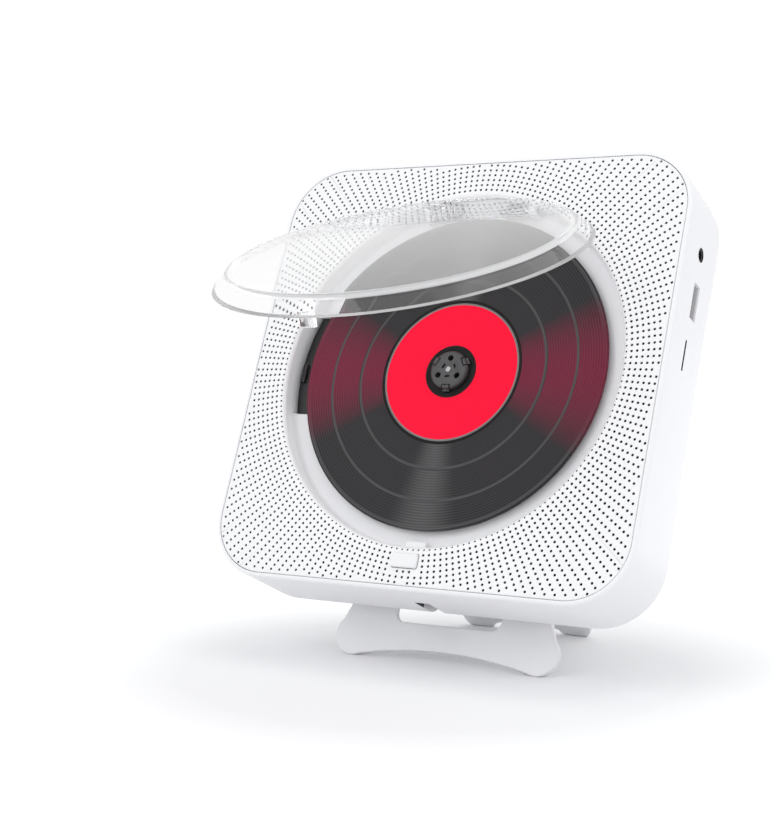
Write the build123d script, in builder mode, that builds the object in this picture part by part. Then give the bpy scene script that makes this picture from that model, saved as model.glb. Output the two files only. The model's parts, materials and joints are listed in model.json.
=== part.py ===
from build123d import *
import os
from math import acos, cos, degrees, pi, radians, sin, sqrt, tan

# Compact disc player for a wall or a table: a square perforated front with a round disc well,
# a clear lid hinged at the top, a drop-in disc mechanism, two small speakers, side sockets
# and a bent table stand that hooks on to the back.
# Millimetres.  The row frame is +Z up with the floor at Z = 0 and the front towards -Y.
# Every piece is drawn in the face frame: x to the right, y up the face, z out of the face,
# with its origin at the centre of the front face.

# ---------------------------------------------------------------- driving dimensions
lean = 23.5                  # how far the face leans back on its stand, degrees
face_setback = 9.64          # centre of the face behind the middle of the whole object

body_half = 83.0             # half the width and height of the housing
body_corner = 23.3
body_depth = 38.5
body_wall = 2.0
back_round = 9.0
front_round = 1.1
inner_slope = 5.0            # inside, the back edge is sloped instead of round

panel_gap = 0.24             # seam between the panel and the housing rim
panel_half = 81.2
panel_corner = 21.5
panel_thick = 2.2
rim_depth = 2.5              # depth of the step in the housing that takes the panel

well_radius = 67.0
well_floor = -8.0            # top of the well's floor
well_floor_thick = 2.0
lip_wall = 2.6
lip_round = 2.3

disc_radius = 60.0
disc_hole = 7.5
disc_top = -5.0
disc_thick = 1.2

lid_open = 48.4              # how far the lid stands open, degrees
hinge_y = 62.2               # the lid's hinge line on the face
hinge_z = -4.5
lid_rim_radius = 65.7
lid_rim_z = -2.6
lid_plate_radius = 60.2
lid_plate_z = 3.0
lid_wall = 1.5
lid_chord = 57.8             # the lid is cut straight here, in front of its hinge

post_length = 5.8            # posts under the well that carry the mechanism
slot_half = 4.1              # half the width of the pickup's slot
lens_rest = -24.0            # the lens at the start of the disc's track
window_low, window_high = -17.2, 22.8

chassis_top = -12.0
chassis_thick = 1.8
rod_y, rod_z, rod_radius = 12.0, -16.6, 1.5
sled_top, sled_bottom = -14.2, -19.0
rack_module = 0.6
rack_pitch_y = 16.4          # pitch line of the rack
rack_wheel_teeth = 12        # the small wheel, which runs on the rack
wheel_module = 0.5
wheel_teeth = 40             # the large wheel, which the motor's pinion turns
pinion_teeth = 12
gear_x = -30.0
pressure_angle = 20.0
backlash = 0.14

speaker_centre = 61.8
speaker_radius = 17.4
speaker_seat = -3.4          # the rings that the speakers' flanges are screwed to
flange_thick = 1.6
speaker_depth = 13.8         # back of the speaker's basket, where its magnet sits
basket_thick = 1.2

button_y = -72.4             # the opening button, below the well
button_width, button_height, button_corner = 10.0, 5.2, 0.7
button_rise = 1.2            # how far the button stands out of the panel

jack_at = (49.0, -15.4)      # the right-hand sockets: height up the face, then depth
usb_at = (31.6, -16.6)
card_at = (11.1, -14.6)
inlet_z = -21.1              # depth of the power inlet, in the middle of the bottom edge

key_count = 5
key_pitch = 16.0
key_z = -19.0

stand_thick = 3.0
stand_gap = 0.1
foot_x, foot_y, foot_radius = 37.6, -92.5, 7.8
arch_y = -95.8               # top of the low arch between the front feet
stand_bend = 6.0
stand_waist = 33.0           # half the width of the stand at its bend
bend_reach = 14.0            # the sides run parallel this far each way from the bend
rear_foot_x, rear_foot_radius = 20.5, 7.5
rear_arch = 7.0              # rise of the arch between the rear feet
rear_reach = 74.0            # from the front feet back to the rear ones
stand_apex_y = -25.0         # the stand's bend, up the back of the housing
stand_back = -(body_depth + stand_gap + stand_thick)
sole_cut = 1.0               # the round feet are worn flat by this much
face_height = -(foot_y - foot_radius) * cos(radians(lean)) - stand_back * sin(radians(lean)) - sole_cut

# ---------------------------------------------------------------- frames and helpers
def leaning_plane(origin, angle):
    """A plane facing the viewer, whose normal points forwards and up by the angle."""
    return Plane(origin=origin, x_dir=(1, 0, 0), z_dir=(0, -cos(radians(angle)), sin(radians(angle))))


face = leaning_plane((0, face_setback, face_height), lean)
outward = Axis(face.origin, face.z_dir)
section = Plane(origin=face.origin, x_dir=(1, 0, 0), z_dir=-face.y_dir)       # x and z of the face
profile = Plane(origin=face.origin, x_dir=face.y_dir, z_dir=(1, 0, 0))        # y and z of the face


def across(height):
    """The plane square to the face's y axis at this height up the face: x and z of the face."""
    return section.offset(-height)


def spin_axis(x, y):
    """The line through a point of the face, square to the face."""
    return Axis(face.from_local_coords((x, y, 0)), face.z_dir)


def mirrored(points):
    """The points and their mirror images across the face's centre line."""
    return [point for x, y in points for point in ((x, y), (-x, y))]


def barrel(radius, mode=Mode.ADD):
    """The section of a hidden round piece, drawn with flats to keep the model light."""
    return RegularPolygon(radius, 16 if radius > 5 else 10, mode=mode)


def stud(radius, mode=Mode.ADD):
    """The section of a small hidden shank, post or pilot hole, drawn with flats."""
    return RegularPolygon(radius, 8, mode=mode)


def funnel(builder, level, inward, upward):
    """Slope the walls that meet a level face, counted from the back, to make a tapering side."""
    floor = builder.faces().sort_by(outward)[level]
    chamfer(floor.edges(), inward, upward, reference=floor)


def save(builder, name):
    builder.part.label = name
    export_step(builder.part, f"parts/{name}.step")


os.makedirs("parts", exist_ok=True)

case_screws_at = mirrored([(66, 66), (36, -74)])
well_screws_at = mirrored([(74, 24), (74, -24)])
board_screws_at = [(42, -32), (72, -28), (42, 52), (60, 20)]
dampers_at = [(-50, -24), (20, -24), (-50, 30), (20, 30)]
speakers_at = {"left": (-speaker_centre, -speaker_centre), "right": (speaker_centre, -speaker_centre)}
ear_reach = 14.5
wall_keyholes_at = mirrored([(32, 36)])
stand_keyholes_at = mirrored([(28, -54)])
studs_at = mirrored([(28, -49.85)])
seat_z = -22.0               # where the case screws' heads bear
boss_end = -14.2             # the panel's screw bosses end here, just clear of the housing's
sunk = 0.5                   # bosses and ribs are drawn this far into the floor that carries them
board_top = -20.0
shell_floor = body_wall - body_depth


def speaker_ears(centre):
    """The two screw ears of a speaker, on the line square to its corner's diagonal."""
    x, y = centre
    side = 1 if x > 0 else -1
    return [(x + side * ear_reach, y + ear_reach), (x - side * ear_reach, y - ear_reach)]


# ---------------------------------------------------------------- front panel
# A moulded square panel with a rolled lip round the well and a short wall down to the well's floor.
with BuildPart() as front_panel:
    with BuildSketch(face):
        RectangleRounded(2 * panel_half, 2 * panel_half, panel_corner)
        Circle(well_radius, mode=Mode.SUBTRACT)
    extrude(amount=-panel_thick)
    with BuildSketch(face.offset(-panel_thick)):
        Circle(well_radius + lip_wall)
        Circle(well_radius, mode=Mode.SUBTRACT)
    extrude(amount=well_floor + panel_thick)
    fillet(front_panel.edges().filter_by(GeomType.CIRCLE).group_by(outward)[-1].sort_by(SortBy.RADIUS)[-1],
           lip_round)
    # bosses for the screws of the case, of the well and of the speakers
    with BuildSketch(face.offset(boss_end)):
        with Locations(*case_screws_at):
            stud(3.9)
    extrude(amount=-boss_end - panel_thick)
    with BuildSketch(face.offset(well_floor)):
        with Locations(*well_screws_at):
            stud(3.2)
    extrude(amount=-well_floor - panel_thick)
    for centre in speakers_at.values():
        with BuildSketch(face.offset(speaker_seat)):
            with Locations(centre):
                barrel(speaker_radius)
                barrel(speaker_radius - 2, mode=Mode.SUBTRACT)
            with Locations(*speaker_ears(centre)):
                stud(3.0)
        extrude(amount=-speaker_seat - panel_thick)
        with BuildSketch(face.offset(speaker_seat)):
            with Locations(*speaker_ears(centre)):
                stud(1.15)
        extrude(amount=2.4, mode=Mode.SUBTRACT)
    with BuildSketch(face.offset(boss_end)):
        with Locations(*case_screws_at):
            stud(1.5)
    extrude(amount=10.2, mode=Mode.SUBTRACT)
    with BuildSketch(face.offset(well_floor)):
        with Locations(*well_screws_at):
            stud(1.2)
    extrude(amount=4.5, mode=Mode.SUBTRACT)
    # two ribs guide the catch behind the opening button
    with BuildSketch(section.offset(76.4)):
        with Locations((4.6, -5.0), (-4.6, -5.0)):
            Rectangle(1.0, 5.8)
        with Locations((4.0, -7.9), (-4.0, -7.9)):
            Rectangle(2.2, 1.0)
    extrude(amount=3.2)
    # the hole of the opening button, the slot of the catch and the gap for the lid's hinge
    with BuildSketch(face):
        with Locations((0, button_y)):
            RectangleRounded(button_width + 0.4, button_height + 0.4, button_corner + 0.1)
    extrude(amount=-panel_thick, mode=Mode.SUBTRACT)
    with BuildSketch(across(-well_radius + 1)):
        with Locations((0, -6.1)):
            Rectangle(8.3, 2.8)
    extrude(amount=6, mode=Mode.SUBTRACT)
    with BuildSketch(face.offset(well_floor)):
        with Locations((0, hinge_y + 4.5)):
            Rectangle(47.0, 9.0)
    extrude(amount=6.2, mode=Mode.SUBTRACT)
save(front_panel, "front_panel")

# ---------------------------------------------------------------- disc well
# The floor of the well, with a wide window over the disc mechanism, two hinge lugs and
# four posts underneath that carry the mechanism on rubber.
with BuildPart() as disc_well:
    with BuildSketch(face.offset(well_floor)):
        Circle(well_radius + 5)
        with Locations(*well_screws_at):
            barrel(3.4)
        with Locations(*[(0.94 * x, y) for x, y in well_screws_at]):
            Rectangle(10.0, 6.8)
        with BuildLine() as window_outline:
            left = -sqrt((well_radius - 0.1) ** 2 - window_high ** 2)
            left_low = -sqrt((well_radius - 0.1) ** 2 - window_low ** 2)
            Line((left_low, window_low), (26, window_low))
            Line((26, window_low), (26, window_high))
            Line((26, window_high), (left, window_high))
            ThreePointArc((left, window_high), (-well_radius + 0.1, 0), (left_low, window_low))
        make_face(mode=Mode.SUBTRACT)
        with Locations(*well_screws_at):
            stud(1.35, mode=Mode.SUBTRACT)
        with Locations((0, -72.5)):
            Rectangle(6.0, 5.0, mode=Mode.SUBTRACT)
    extrude(amount=-well_floor_thick)
    with BuildSketch(face.offset(well_floor - well_floor_thick - post_length)):
        with Locations(*dampers_at):
            stud(2.0)
    extrude(amount=post_length + 0.5)
    # hinge lugs: a rounded upright each side of the lid's knuckles
    for side in (-1, 1):
        with BuildSketch(profile.offset(side * 20.4)):
            with Locations((hinge_y, hinge_z)):
                Circle(2.5)
            with Locations((hinge_y, (hinge_z + well_floor) / 2)):
                Rectangle(5.0, hinge_z - well_floor)
        extrude(amount=side * 2.8)
        with BuildSketch(profile.offset(side * 20.4)):
            with Locations((hinge_y, hinge_z)):
                Circle(1.0)
        extrude(amount=side * 2.8, mode=Mode.SUBTRACT)
    with BuildSketch(face.offset(well_floor - well_floor_thick - post_length)):
        with Locations(*dampers_at):
            stud(1.0)
    extrude(amount=5, mode=Mode.SUBTRACT)
save(disc_well, "disc_well")

# ---------------------------------------------------------------- rear shell
# The white housing: a deep tray with rounded back edges, screw bosses, board posts, keyholes for
# two wall screws and for the stand's studs, side sockets, key slots on top and the power recess.
with BuildPart() as rear_shell:
    with BuildSketch(face.offset(-body_depth)):
        RectangleRounded(2 * body_half, 2 * body_half, body_corner)
    extrude(amount=body_depth)
    fillet(rear_shell.edges().group_by(outward)[0], back_round)
    inner_half, inner_corner = body_half - body_wall, body_corner - body_wall
    with BuildSketch(face):
        RectangleRounded(2 * inner_half, 2 * inner_half, inner_corner)
    extrude(amount=shell_floor + inner_slope, mode=Mode.SUBTRACT)
    with BuildSketch(face.offset(shell_floor + inner_slope)):
        RectangleRounded(2 * inner_half, 2 * inner_half, inner_corner)
    extrude(amount=-inner_slope, taper=45, mode=Mode.SUBTRACT)
    rebate = panel_half + panel_gap
    with BuildSketch(face):
        RectangleRounded(2 * rebate, 2 * rebate, panel_corner + panel_gap)
    extrude(amount=-rim_depth, mode=Mode.SUBTRACT)
    chamfer(rear_shell.faces().sort_by(outward)[-1].outer_wire().edges(), front_round)
    with BuildSketch(face.offset(shell_floor - sunk)):
        with Locations(*case_screws_at):
            barrel(4.8)
    extrude(amount=-14.4 - shell_floor + sunk)
    with BuildSketch(face.offset(shell_floor - sunk)):
        with Locations(*board_screws_at):
            stud(3.0)
    extrude(amount=board_top - 1.6 - shell_floor + sunk)
    # a solid block carries the power recess in the bottom wall
    with BuildSketch(profile):
        with BuildLine():
            Polyline((-82.0, -15.5), (-73.0, -15.5), (-73.0, shell_floor - sunk), (-78.5, shell_floor - sunk),
                     (-82.0, -33.4), close=True)
        make_face()
    extrude(amount=5.5, both=True)
    # slotted ribs hold the ends of the key board
    with BuildSketch(face.offset(shell_floor - sunk)):
        with Locations(*mirrored([(44.5, 73.3)])):
            Rectangle(3.0, 6.0)
    extrude(amount=-13.0 - shell_floor + sunk)
    with BuildSketch(face.offset(-27.2)):
        with Locations(*mirrored([(43.7, 73.3)])):
            Rectangle(2.0, 1.7)
    extrude(amount=15, mode=Mode.SUBTRACT)
    # counterbored case screw holes and blind board screw holes
    with BuildSketch(face.offset(-body_depth)):
        with Locations(*case_screws_at):
            barrel(3.5)
    extrude(amount=body_depth + seat_z, mode=Mode.SUBTRACT)
    with BuildSketch(face.offset(seat_z)):
        with Locations(*case_screws_at):
            stud(1.8)
    extrude(amount=10, mode=Mode.SUBTRACT)
    with BuildSketch(face.offset(board_top - 1.6)):
        with Locations(*board_screws_at):
            stud(1.0)
    extrude(amount=-8, mode=Mode.SUBTRACT)
    # keyholes: a round entry below a narrower slot
    for x, y in wall_keyholes_at + stand_keyholes_at:
        with BuildSketch(face.offset(-body_depth)):
            with Locations((x, y - 4)):
                Circle(4.2)
            with Locations((x, y)):
                Rectangle(4.4, 8.0)
            with Locations((x, y + 4)):
                Circle(2.2)
        extrude(amount=body_wall, mode=Mode.SUBTRACT)
    # sockets in the right-hand side
    with BuildSketch(profile.offset(body_half - body_wall - 0.5)):
        with Locations(jack_at):
            Circle(2.6)
        with Locations(usb_at):
            Rectangle(13.2, 5.5)
        with Locations(card_at):
            Rectangle(11.2, 1.3)
    extrude(amount=body_wall + 1, mode=Mode.SUBTRACT)
    # key slots in the top
    with BuildSketch(across(body_half - body_wall - 0.5)):
        with Locations((0, key_z)):
            with GridLocations(key_pitch, 1, key_count, 1):
                Rectangle(12.3, 5.3)
    extrude(amount=-body_wall - 1, mode=Mode.SUBTRACT)
    # power recess: a pocket for the inlet and a sloping cable groove to the back edge
    with BuildSketch(across(-body_half)):
        with Locations((0, inlet_z)):
            Rectangle(5.8, 7.2)
    extrude(amount=-10.5, mode=Mode.SUBTRACT)
    with BuildSketch(profile):
        with BuildLine():
            Polyline((-body_half - 1, -24.0), (-80.6, -24.0), (-79.6, -body_depth - 1),
                     (-body_half - 1, -body_depth - 1), close=True)
        make_face()
    extrude(amount=2.9, both=True, mode=Mode.SUBTRACT)
save(rear_shell, "rear_shell")

# ---------------------------------------------------------------- screws of the case, well and boards
with BuildPart() as case_screws:
    with BuildSketch(face.offset(seat_z)):
        with Locations(*case_screws_at):
            barrel(2.8)
    extrude(amount=-2)
    with BuildSketch(face.offset(seat_z)):
        with Locations(*case_screws_at):
            stud(1.42)
    extrude(amount=16.5)
save(case_screws, "case_screws")

with BuildPart() as well_screws:
    with BuildSketch(face.offset(well_floor - well_floor_thick)):
        with Locations(*well_screws_at):
            barrel(2.5)
    extrude(amount=-1.6)
    with BuildSketch(face.offset(well_floor - well_floor_thick)):
        with Locations(*well_screws_at):
            stud(1.12)
    extrude(amount=6)
save(well_screws, "well_screws")

# ---------------------------------------------------------------- lid
# A clear dish-shaped cover: a flat plate, a wide sloping rim and two hinge knuckles.
# It is drawn closed in the face frame and stands open about its hinge line.
hinge_point = face.from_local_coords((0, hinge_y, hinge_z))
tilt = leaning_plane((0, 0, 0), lean + lid_open)
lid_face = leaning_plane(hinge_point - tilt.y_dir * hinge_y - tilt.z_dir * hinge_z, lean + lid_open)
lid_section = Plane(origin=lid_face.origin, x_dir=(1, 0, 0), z_dir=-lid_face.y_dir)
lid_profile = Plane(origin=lid_face.origin, x_dir=lid_face.y_dir, z_dir=(1, 0, 0))
with BuildPart() as lid:
    with BuildSketch(lid_section):
        with BuildLine():
            Polyline((0, lid_plate_z), (lid_plate_radius - 1.4, lid_plate_z),
                     (lid_plate_radius + 1.1, lid_plate_z - 1.1), (lid_rim_radius, lid_rim_z),
                     (lid_rim_radius - 2.1, lid_rim_z), (lid_plate_radius - 1.6, lid_plate_z - lid_wall),
                     (0, lid_plate_z - lid_wall), close=True)
        make_face()
    revolve(axis=Axis(lid_face.origin, lid_face.z_dir))
    with BuildSketch(lid_face.offset(lid_rim_z)):
        with Locations((0, lid_chord + 5)):
            Rectangle(80, 10)
    extrude(amount=10, mode=Mode.SUBTRACT)
    # two knuckles on short arms
    for side in (-1, 1):
        with BuildSketch(lid_profile.offset(side * 14.5)):
            with Locations((hinge_y, hinge_z)):
                Circle(2.3)
            with BuildLine():
                Polyline((hinge_y - 0.9, hinge_z + 2.1), (lid_chord - 2.0, lid_plate_z - lid_wall),
                         (lid_chord - 3.0, lid_plate_z - lid_wall - 1.6), (hinge_y - 2.1, hinge_z - 0.9),
                         close=True)
            make_face()
        extrude(amount=side * 5.6)
        with BuildSketch(lid_profile.offset(side * 14.5)):
            with Locations((hinge_y, hinge_z)):
                Circle(1.06)
        extrude(amount=side * 5.6, mode=Mode.SUBTRACT)
    # the small tongue that the catch holds
    with BuildSketch(lid_face.offset(lid_rim_z + 0.6)):
        with Locations((0, -62.7)):
            Rectangle(6.0, 1.4)
    extrude(amount=-4.4)
save(lid, "lid")

with BuildPart() as lid_hinge_pins:
    for side in (-1, 1):
        with BuildSketch(profile.offset(side * 8.0)):
            with Locations((hinge_y, hinge_z)):
                Circle(1.0)
        extrude(amount=side * 15.2)
save(lid_hinge_pins, "lid_hinge_pins")

# A torsion spring on the left-hand pin lifts the lid when the catch lets go.
spring_turns, spring_pitch, spring_radius, spring_wire = 3, 1.2, 1.6, 0.5
spring_start = face.from_local_coords((-13.4, hinge_y, hinge_z))
with BuildPart() as lid_spring:
    with BuildLine():
        coil = Helix(spring_pitch, spring_turns * spring_pitch, spring_radius,
                     center=spring_start, direction=(1, 0, 0))
    with BuildSketch(Plane(origin=coil @ 0, z_dir=coil % 0)):
        RegularPolygon(spring_wire / 2, 4)
    sweep(path=coil, is_frenet=True)
save(lid_spring, "lid_spring")

# ---------------------------------------------------------------- opening button and catch
# Pressing the button drives a 45 degree wedge that draws the catch back from the lid's tongue.
with BuildPart() as open_button:
    with BuildSketch(face.offset(-2.3)):
        with Locations((0, button_y)):
            RectangleRounded(button_width, button_height, button_corner)
    extrude(amount=2.3 + button_rise)
    chamfer(open_button.faces().sort_by(outward)[-1].edges(), 0.3)
    with BuildSketch(face.offset(-2.5)):
        with Locations((0, -73.0)):
            Rectangle(12.4, 6.2)
    extrude(amount=-1.2)
    with BuildSketch(face.offset(-2.3)):
        with Locations((0, button_y)):
            Rectangle(button_width, button_height)
    extrude(amount=-0.3)
    with BuildSketch(profile):
        with BuildLine():
            Polyline((-71.0, -3.6), (-71.0, -8.2), (-71.8, -8.2), (-75.6, -4.4), (-75.6, -3.6), close=True)
        make_face()
    extrude(amount=2.0, both=True)
save(open_button, "open_button")

with BuildPart() as latch_catch:
    with BuildSketch(profile):
        with BuildLine():
            Polyline((-63.8, -5.5), (-64.4, -5.0), (-78.6, -5.0), (-78.6, -7.2), (-64.4, -7.2),
                     (-63.8, -6.6), close=True)
        make_face()
    extrude(amount=3.85, both=True)
    # window for the wedge, with its own 45 degree face
    with BuildSketch(profile):
        with BuildLine():
            Polyline((-69.6, -4.9), (-75.25, -4.9), (-72.85, -7.3), (-69.6, -7.3), close=True)
        make_face()
    extrude(amount=2.3, both=True, mode=Mode.SUBTRACT)
save(latch_catch, "latch_catch")

# A bowed steel strip between the catch and the bottom wall pushes the catch home.
with BuildPart() as latch_spring:
    with BuildSketch(face.offset(-5.4)):
        with BuildLine():
            ThreePointArc((-5.0, -80.75), (0, -78.65), (5.0, -80.75))
            offset(amount=0.15, side=Side.RIGHT)
        make_face()
    extrude(amount=-1.4)
save(latch_spring, "latch_spring")

# ---------------------------------------------------------------- disc mechanism
# A black cover fills the well's window; its slot lets the pickup's lens run under the disc.
with BuildPart() as mech_cover:
    cover_radius = well_radius - 0.7
    low, high = window_low + 0.5, window_high - 0.5
    with BuildSketch(face.offset(-9.5)):
        with BuildLine():
            low_left = (-sqrt(cover_radius ** 2 - low ** 2), low)
            high_left = (-sqrt(cover_radius ** 2 - high ** 2), high)
            Polyline(low_left, (25.5, low), (25.5, high), high_left)
            ThreePointArc(high_left, (-cover_radius, 0), low_left)
        make_face()
        with Locations((-39.75, 0)):
            Rectangle(45.5, 2 * slot_half, mode=Mode.SUBTRACT)
        barrel(8.2, mode=Mode.SUBTRACT)
    extrude(amount=-1.5)
    with BuildSketch(face.offset(-11.0)):
        with Locations((-56, -12), (20, -12), (-56, 18), (20, 18)):
            stud(2.0)
    extrude(amount=chassis_top + 11.0)
    with BuildSketch(face.offset(-9.5)):
        with Locations((-64.9, -0.5)):
            Rectangle(1.8, 7.3)
    extrude(amount=1.4)
save(mech_cover, "mech_cover")

motor_at = (gear_x + 13 * cos(radians(45)), rack_pitch_y + 3.6 + 13 * sin(radians(45)))
gear_at = (gear_x, rack_pitch_y + rack_module * rack_wheel_teeth / 2)

# The chassis: a steel plate with holders for the two rods and a post for the stepped wheel.
with BuildPart() as mech_chassis:
    with BuildSketch(face.offset(chassis_top)):
        with Locations((-15, 4)):
            Rectangle(90, 68)
        with Locations((-62, 0)):
            Rectangle(16, 35)
        with Locations((-41, 0)):
            Rectangle(49, 13, mode=Mode.SUBTRACT)
        barrel(3.3, mode=Mode.SUBTRACT)
        with Locations(*dampers_at):
            stud(3.4, mode=Mode.SUBTRACT)
        with Locations(motor_at):
            stud(2.4, mode=Mode.SUBTRACT)
    extrude(amount=-chassis_thick)
    underside = chassis_top - chassis_thick
    with BuildSketch(face.offset(underside)):
        for x in (-68, -11):
            with Locations((x, rod_y), (x, -rod_y)):
                Rectangle(3.0, 4.8)
    extrude(amount=-5.2)
    with BuildSketch(profile.offset(-70)):
        with Locations((rod_y, rod_z), (-rod_y, rod_z)):
            barrel(rod_radius + 0.03)
    extrude(amount=61, mode=Mode.SUBTRACT)
    with BuildSketch(face.offset(underside)):
        with Locations(gear_at):
            stud(1.8)
    extrude(amount=-2.2)
    with BuildSketch(face.offset(underside)):
        with Locations(gear_at):
            Circle(1.0)
    extrude(amount=-9.6)
    with BuildSketch(face.offset(-22.5)):
        with Locations(gear_at):
            Circle(1.2)
            Circle(0.8, mode=Mode.SUBTRACT)
    extrude(amount=-0.5, mode=Mode.SUBTRACT)
save(mech_chassis, "mech_chassis")

# Rubber grommets carry the chassis on the well's posts, held by washer-headed screws.
with BuildPart() as rubber_dampers:
    for top, thick, radius in ((-10.05, 1.95, 4.6), (-12.0, chassis_thick, 3.36), (-13.8, 1.9, 4.6)):
        with BuildSketch(face.offset(top)):
            with Locations(*dampers_at):
                stud(radius)
                stud(2.08, mode=Mode.SUBTRACT)
        extrude(amount=-thick)
save(rubber_dampers, "rubber_dampers")

post_end = well_floor - well_floor_thick - post_length
with BuildPart() as mech_screws:
    with BuildSketch(face.offset(post_end)):
        with Locations(*dampers_at):
            barrel(3.6)
    extrude(amount=-1.4)
    with BuildSketch(face.offset(post_end)):
        with Locations(*dampers_at):
            stud(0.94)
    extrude(amount=4.2)
save(mech_screws, "mech_screws")

with BuildPart() as guide_rods:
    with BuildSketch(profile.offset(-69.6)):
        with Locations((rod_y, rod_z), (-rod_y, rod_z)):
            barrel(rod_radius)
    extrude(amount=60.2)
save(guide_rods, "guide_rods")

with BuildPart() as spindle_motor:
    with BuildSketch(face.offset(underside)):
        barrel(11.0)
    extrude(amount=-10.8)
    chamfer(spindle_motor.edges().group_by(outward)[0], 1.0)
    with BuildSketch(face.offset(underside)):
        barrel(3.0)
    extrude(amount=1.4)
    with BuildSketch(face.offset(underside - 10.8)):
        barrel(3.6)
    extrude(amount=-0.8)
    with BuildSketch(face.offset(underside + 1.4)):
        Circle(1.04)
    extrude(amount=-12.4, mode=Mode.SUBTRACT)
save(spindle_motor, "spindle_motor")

# ---------------------------------------------------------------- turning parts of the disc drive
with BuildPart() as spindle_shaft:
    with BuildSketch(face.offset(-24.6)):
        Circle(0.98)
    extrude(amount=21.9)
save(spindle_shaft, "spindle_shaft")

with BuildPart() as turntable:
    with BuildSketch(face.offset(-6.2)):
        barrel(14.5)
    extrude(amount=-2.2)
    chamfer(turntable.faces().sort_by(outward)[0].edges(), 0.8)
    with BuildSketch(face.offset(-8.4)):
        stud(3.2)
    extrude(amount=-0.8)
    with BuildSketch(face.offset(-6.2)):
        Circle(1.0)
    extrude(amount=-3.0, mode=Mode.SUBTRACT)
save(turntable, "turntable")

pawl_angles = (30, 150, 270)
with BuildPart() as hub_cap:
    with BuildSketch(face.offset(-6.2)):
        Circle(7.35)
    extrude(amount=3.2)
    chamfer(hub_cap.edges().group_by(outward)[-1], 0.7)
    with BuildSketch(face.offset(-3.0)):
        Circle(1.0)
        with PolarLocations(4.4, 3, start_angle=90):
            Circle(1.1)
    extrude(amount=-3.2, mode=Mode.SUBTRACT)
    with BuildSketch(face.offset(-3.0)):
        with PolarLocations(2.6, 3, start_angle=30):
            Rectangle(0.8, 1.8)
    extrude(amount=-1.2, mode=Mode.SUBTRACT)
    with BuildSketch(face.offset(-4.9)):
        with PolarLocations(7.2, 3, start_angle=30):
            Rectangle(1.6, 2.6)
    extrude(amount=0.9)
save(hub_cap, "hub_cap")

with BuildPart() as disc:
    with BuildSketch(face.offset(disc_top)):
        Circle(disc_radius)
        Circle(disc_hole, mode=Mode.SUBTRACT)
    extrude(amount=-disc_thick)
save(disc, "disc")

# ---------------------------------------------------------------- pickup and its drive
def gear_points(module, teeth):
    """The outline of an involute wheel with a tooth at angle zero, as a closed list of points."""
    pitch = module * teeth / 2
    base = pitch * cos(radians(pressure_angle))
    root = pitch - 1.1 * module
    tip = pitch + 0.7 * module
    turn = tan(radians(pressure_angle)) - radians(pressure_angle)
    half = pi / (2 * teeth) - backlash / (2 * pitch)

    def half_angle(radius):
        if radius <= base:
            return half + turn
        angle = acos(base / radius)
        return half + turn - (tan(angle) - angle)

    radii = (root, pitch, tip)
    tooth = [(radius, -half_angle(radius)) for radius in radii]
    tooth += [(radius, -angle) for radius, angle in reversed(tooth)]
    return [(radius * cos(angle + 2 * pi * i / teeth), radius * sin(angle + 2 * pi * i / teeth))
            for i in range(teeth) for radius, angle in tooth]


lens_x = lens_rest
with BuildPart() as pickup_sled:
    with BuildSketch(face.offset(sled_bottom)):
        with Locations((lens_x + 1, -0.4)):
            Rectangle(17, 30.4)
    extrude(amount=sled_top - sled_bottom)
    with BuildSketch(face.offset(sled_top)):
        with Locations((lens_x, 0)):
            Rectangle(11, 11)
    extrude(amount=1.0)
    with BuildSketch(face.offset(sled_top + 1.0)):
        with Locations((lens_x, 0)):
            stud(2.6)
    extrude(amount=-3.5, mode=Mode.SUBTRACT)
    with BuildSketch(face.offset(sled_top + 1.0)):
        with Locations((lens_x + 4.1, 0)):
            stud(0.5)
    extrude(amount=4.4)
    # the rack: straight flanks leaning by the pressure angle, with a gap at the wheel
    rack_step = pi * rack_module
    rack_left, rack_right = lens_x - 8, lens_x + 30
    lean_out = tan(radians(pressure_angle))
    tooth_half = rack_step / 4 - backlash / 2
    with BuildSketch(face.offset(sled_bottom)):
        with BuildLine():
            Polyline((rack_left, rack_pitch_y - 1.1 * rack_module), (rack_left, 14.5), (rack_right, 14.5),
                     (rack_right, rack_pitch_y - 1.1 * rack_module), close=True)
        make_face()
        first = int((rack_left - gear_x) / rack_step)
        last = int((rack_right - gear_x) / rack_step)
        for i in range(first, last):
            middle = gear_x + (i + 0.5) * rack_step
            foot = tooth_half + 1.1 * rack_module * lean_out
            top = tooth_half - 0.65 * rack_module * lean_out
            with BuildLine():
                Polyline((middle - foot, rack_pitch_y - 1.1 * rack_module),
                         (middle - top, rack_pitch_y + 0.65 * rack_module),
                         (middle + top, rack_pitch_y + 0.65 * rack_module),
                         (middle + foot, rack_pitch_y - 1.1 * rack_module), close=True)
            make_face()
    extrude(amount=2.8)
    with BuildSketch(profile.offset(lens_x - 8)):
        with Locations((rod_y, rod_z), (-rod_y, rod_z)):
            barrel(rod_radius + 0.07)
    extrude(amount=18, mode=Mode.SUBTRACT)
save(pickup_sled, "pickup_sled")

with BuildPart() as lens_holder:
    with BuildSketch(face.offset(-12.6)):
        with Locations((lens_x, 0)):
            barrel(3.6)
        with Locations((lens_x + 2.6, 0)):
            Rectangle(6.0, 6.0)
        with Locations((lens_x, 0)):
            barrel(2.36, mode=Mode.SUBTRACT)
        with Locations((lens_x + 4.1, 0)):
            stud(0.58, mode=Mode.SUBTRACT)
    extrude(amount=3.8)
save(lens_holder, "lens_holder")

with BuildPart() as objective_lens:
    with BuildSketch(face.offset(-10.2)):
        with Locations((lens_x, 0)):
            barrel(2.26)
    extrude(amount=1.7)
    chamfer(objective_lens.edges().group_by(outward)[-1], 0.6)
save(objective_lens, "objective_lens")

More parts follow.
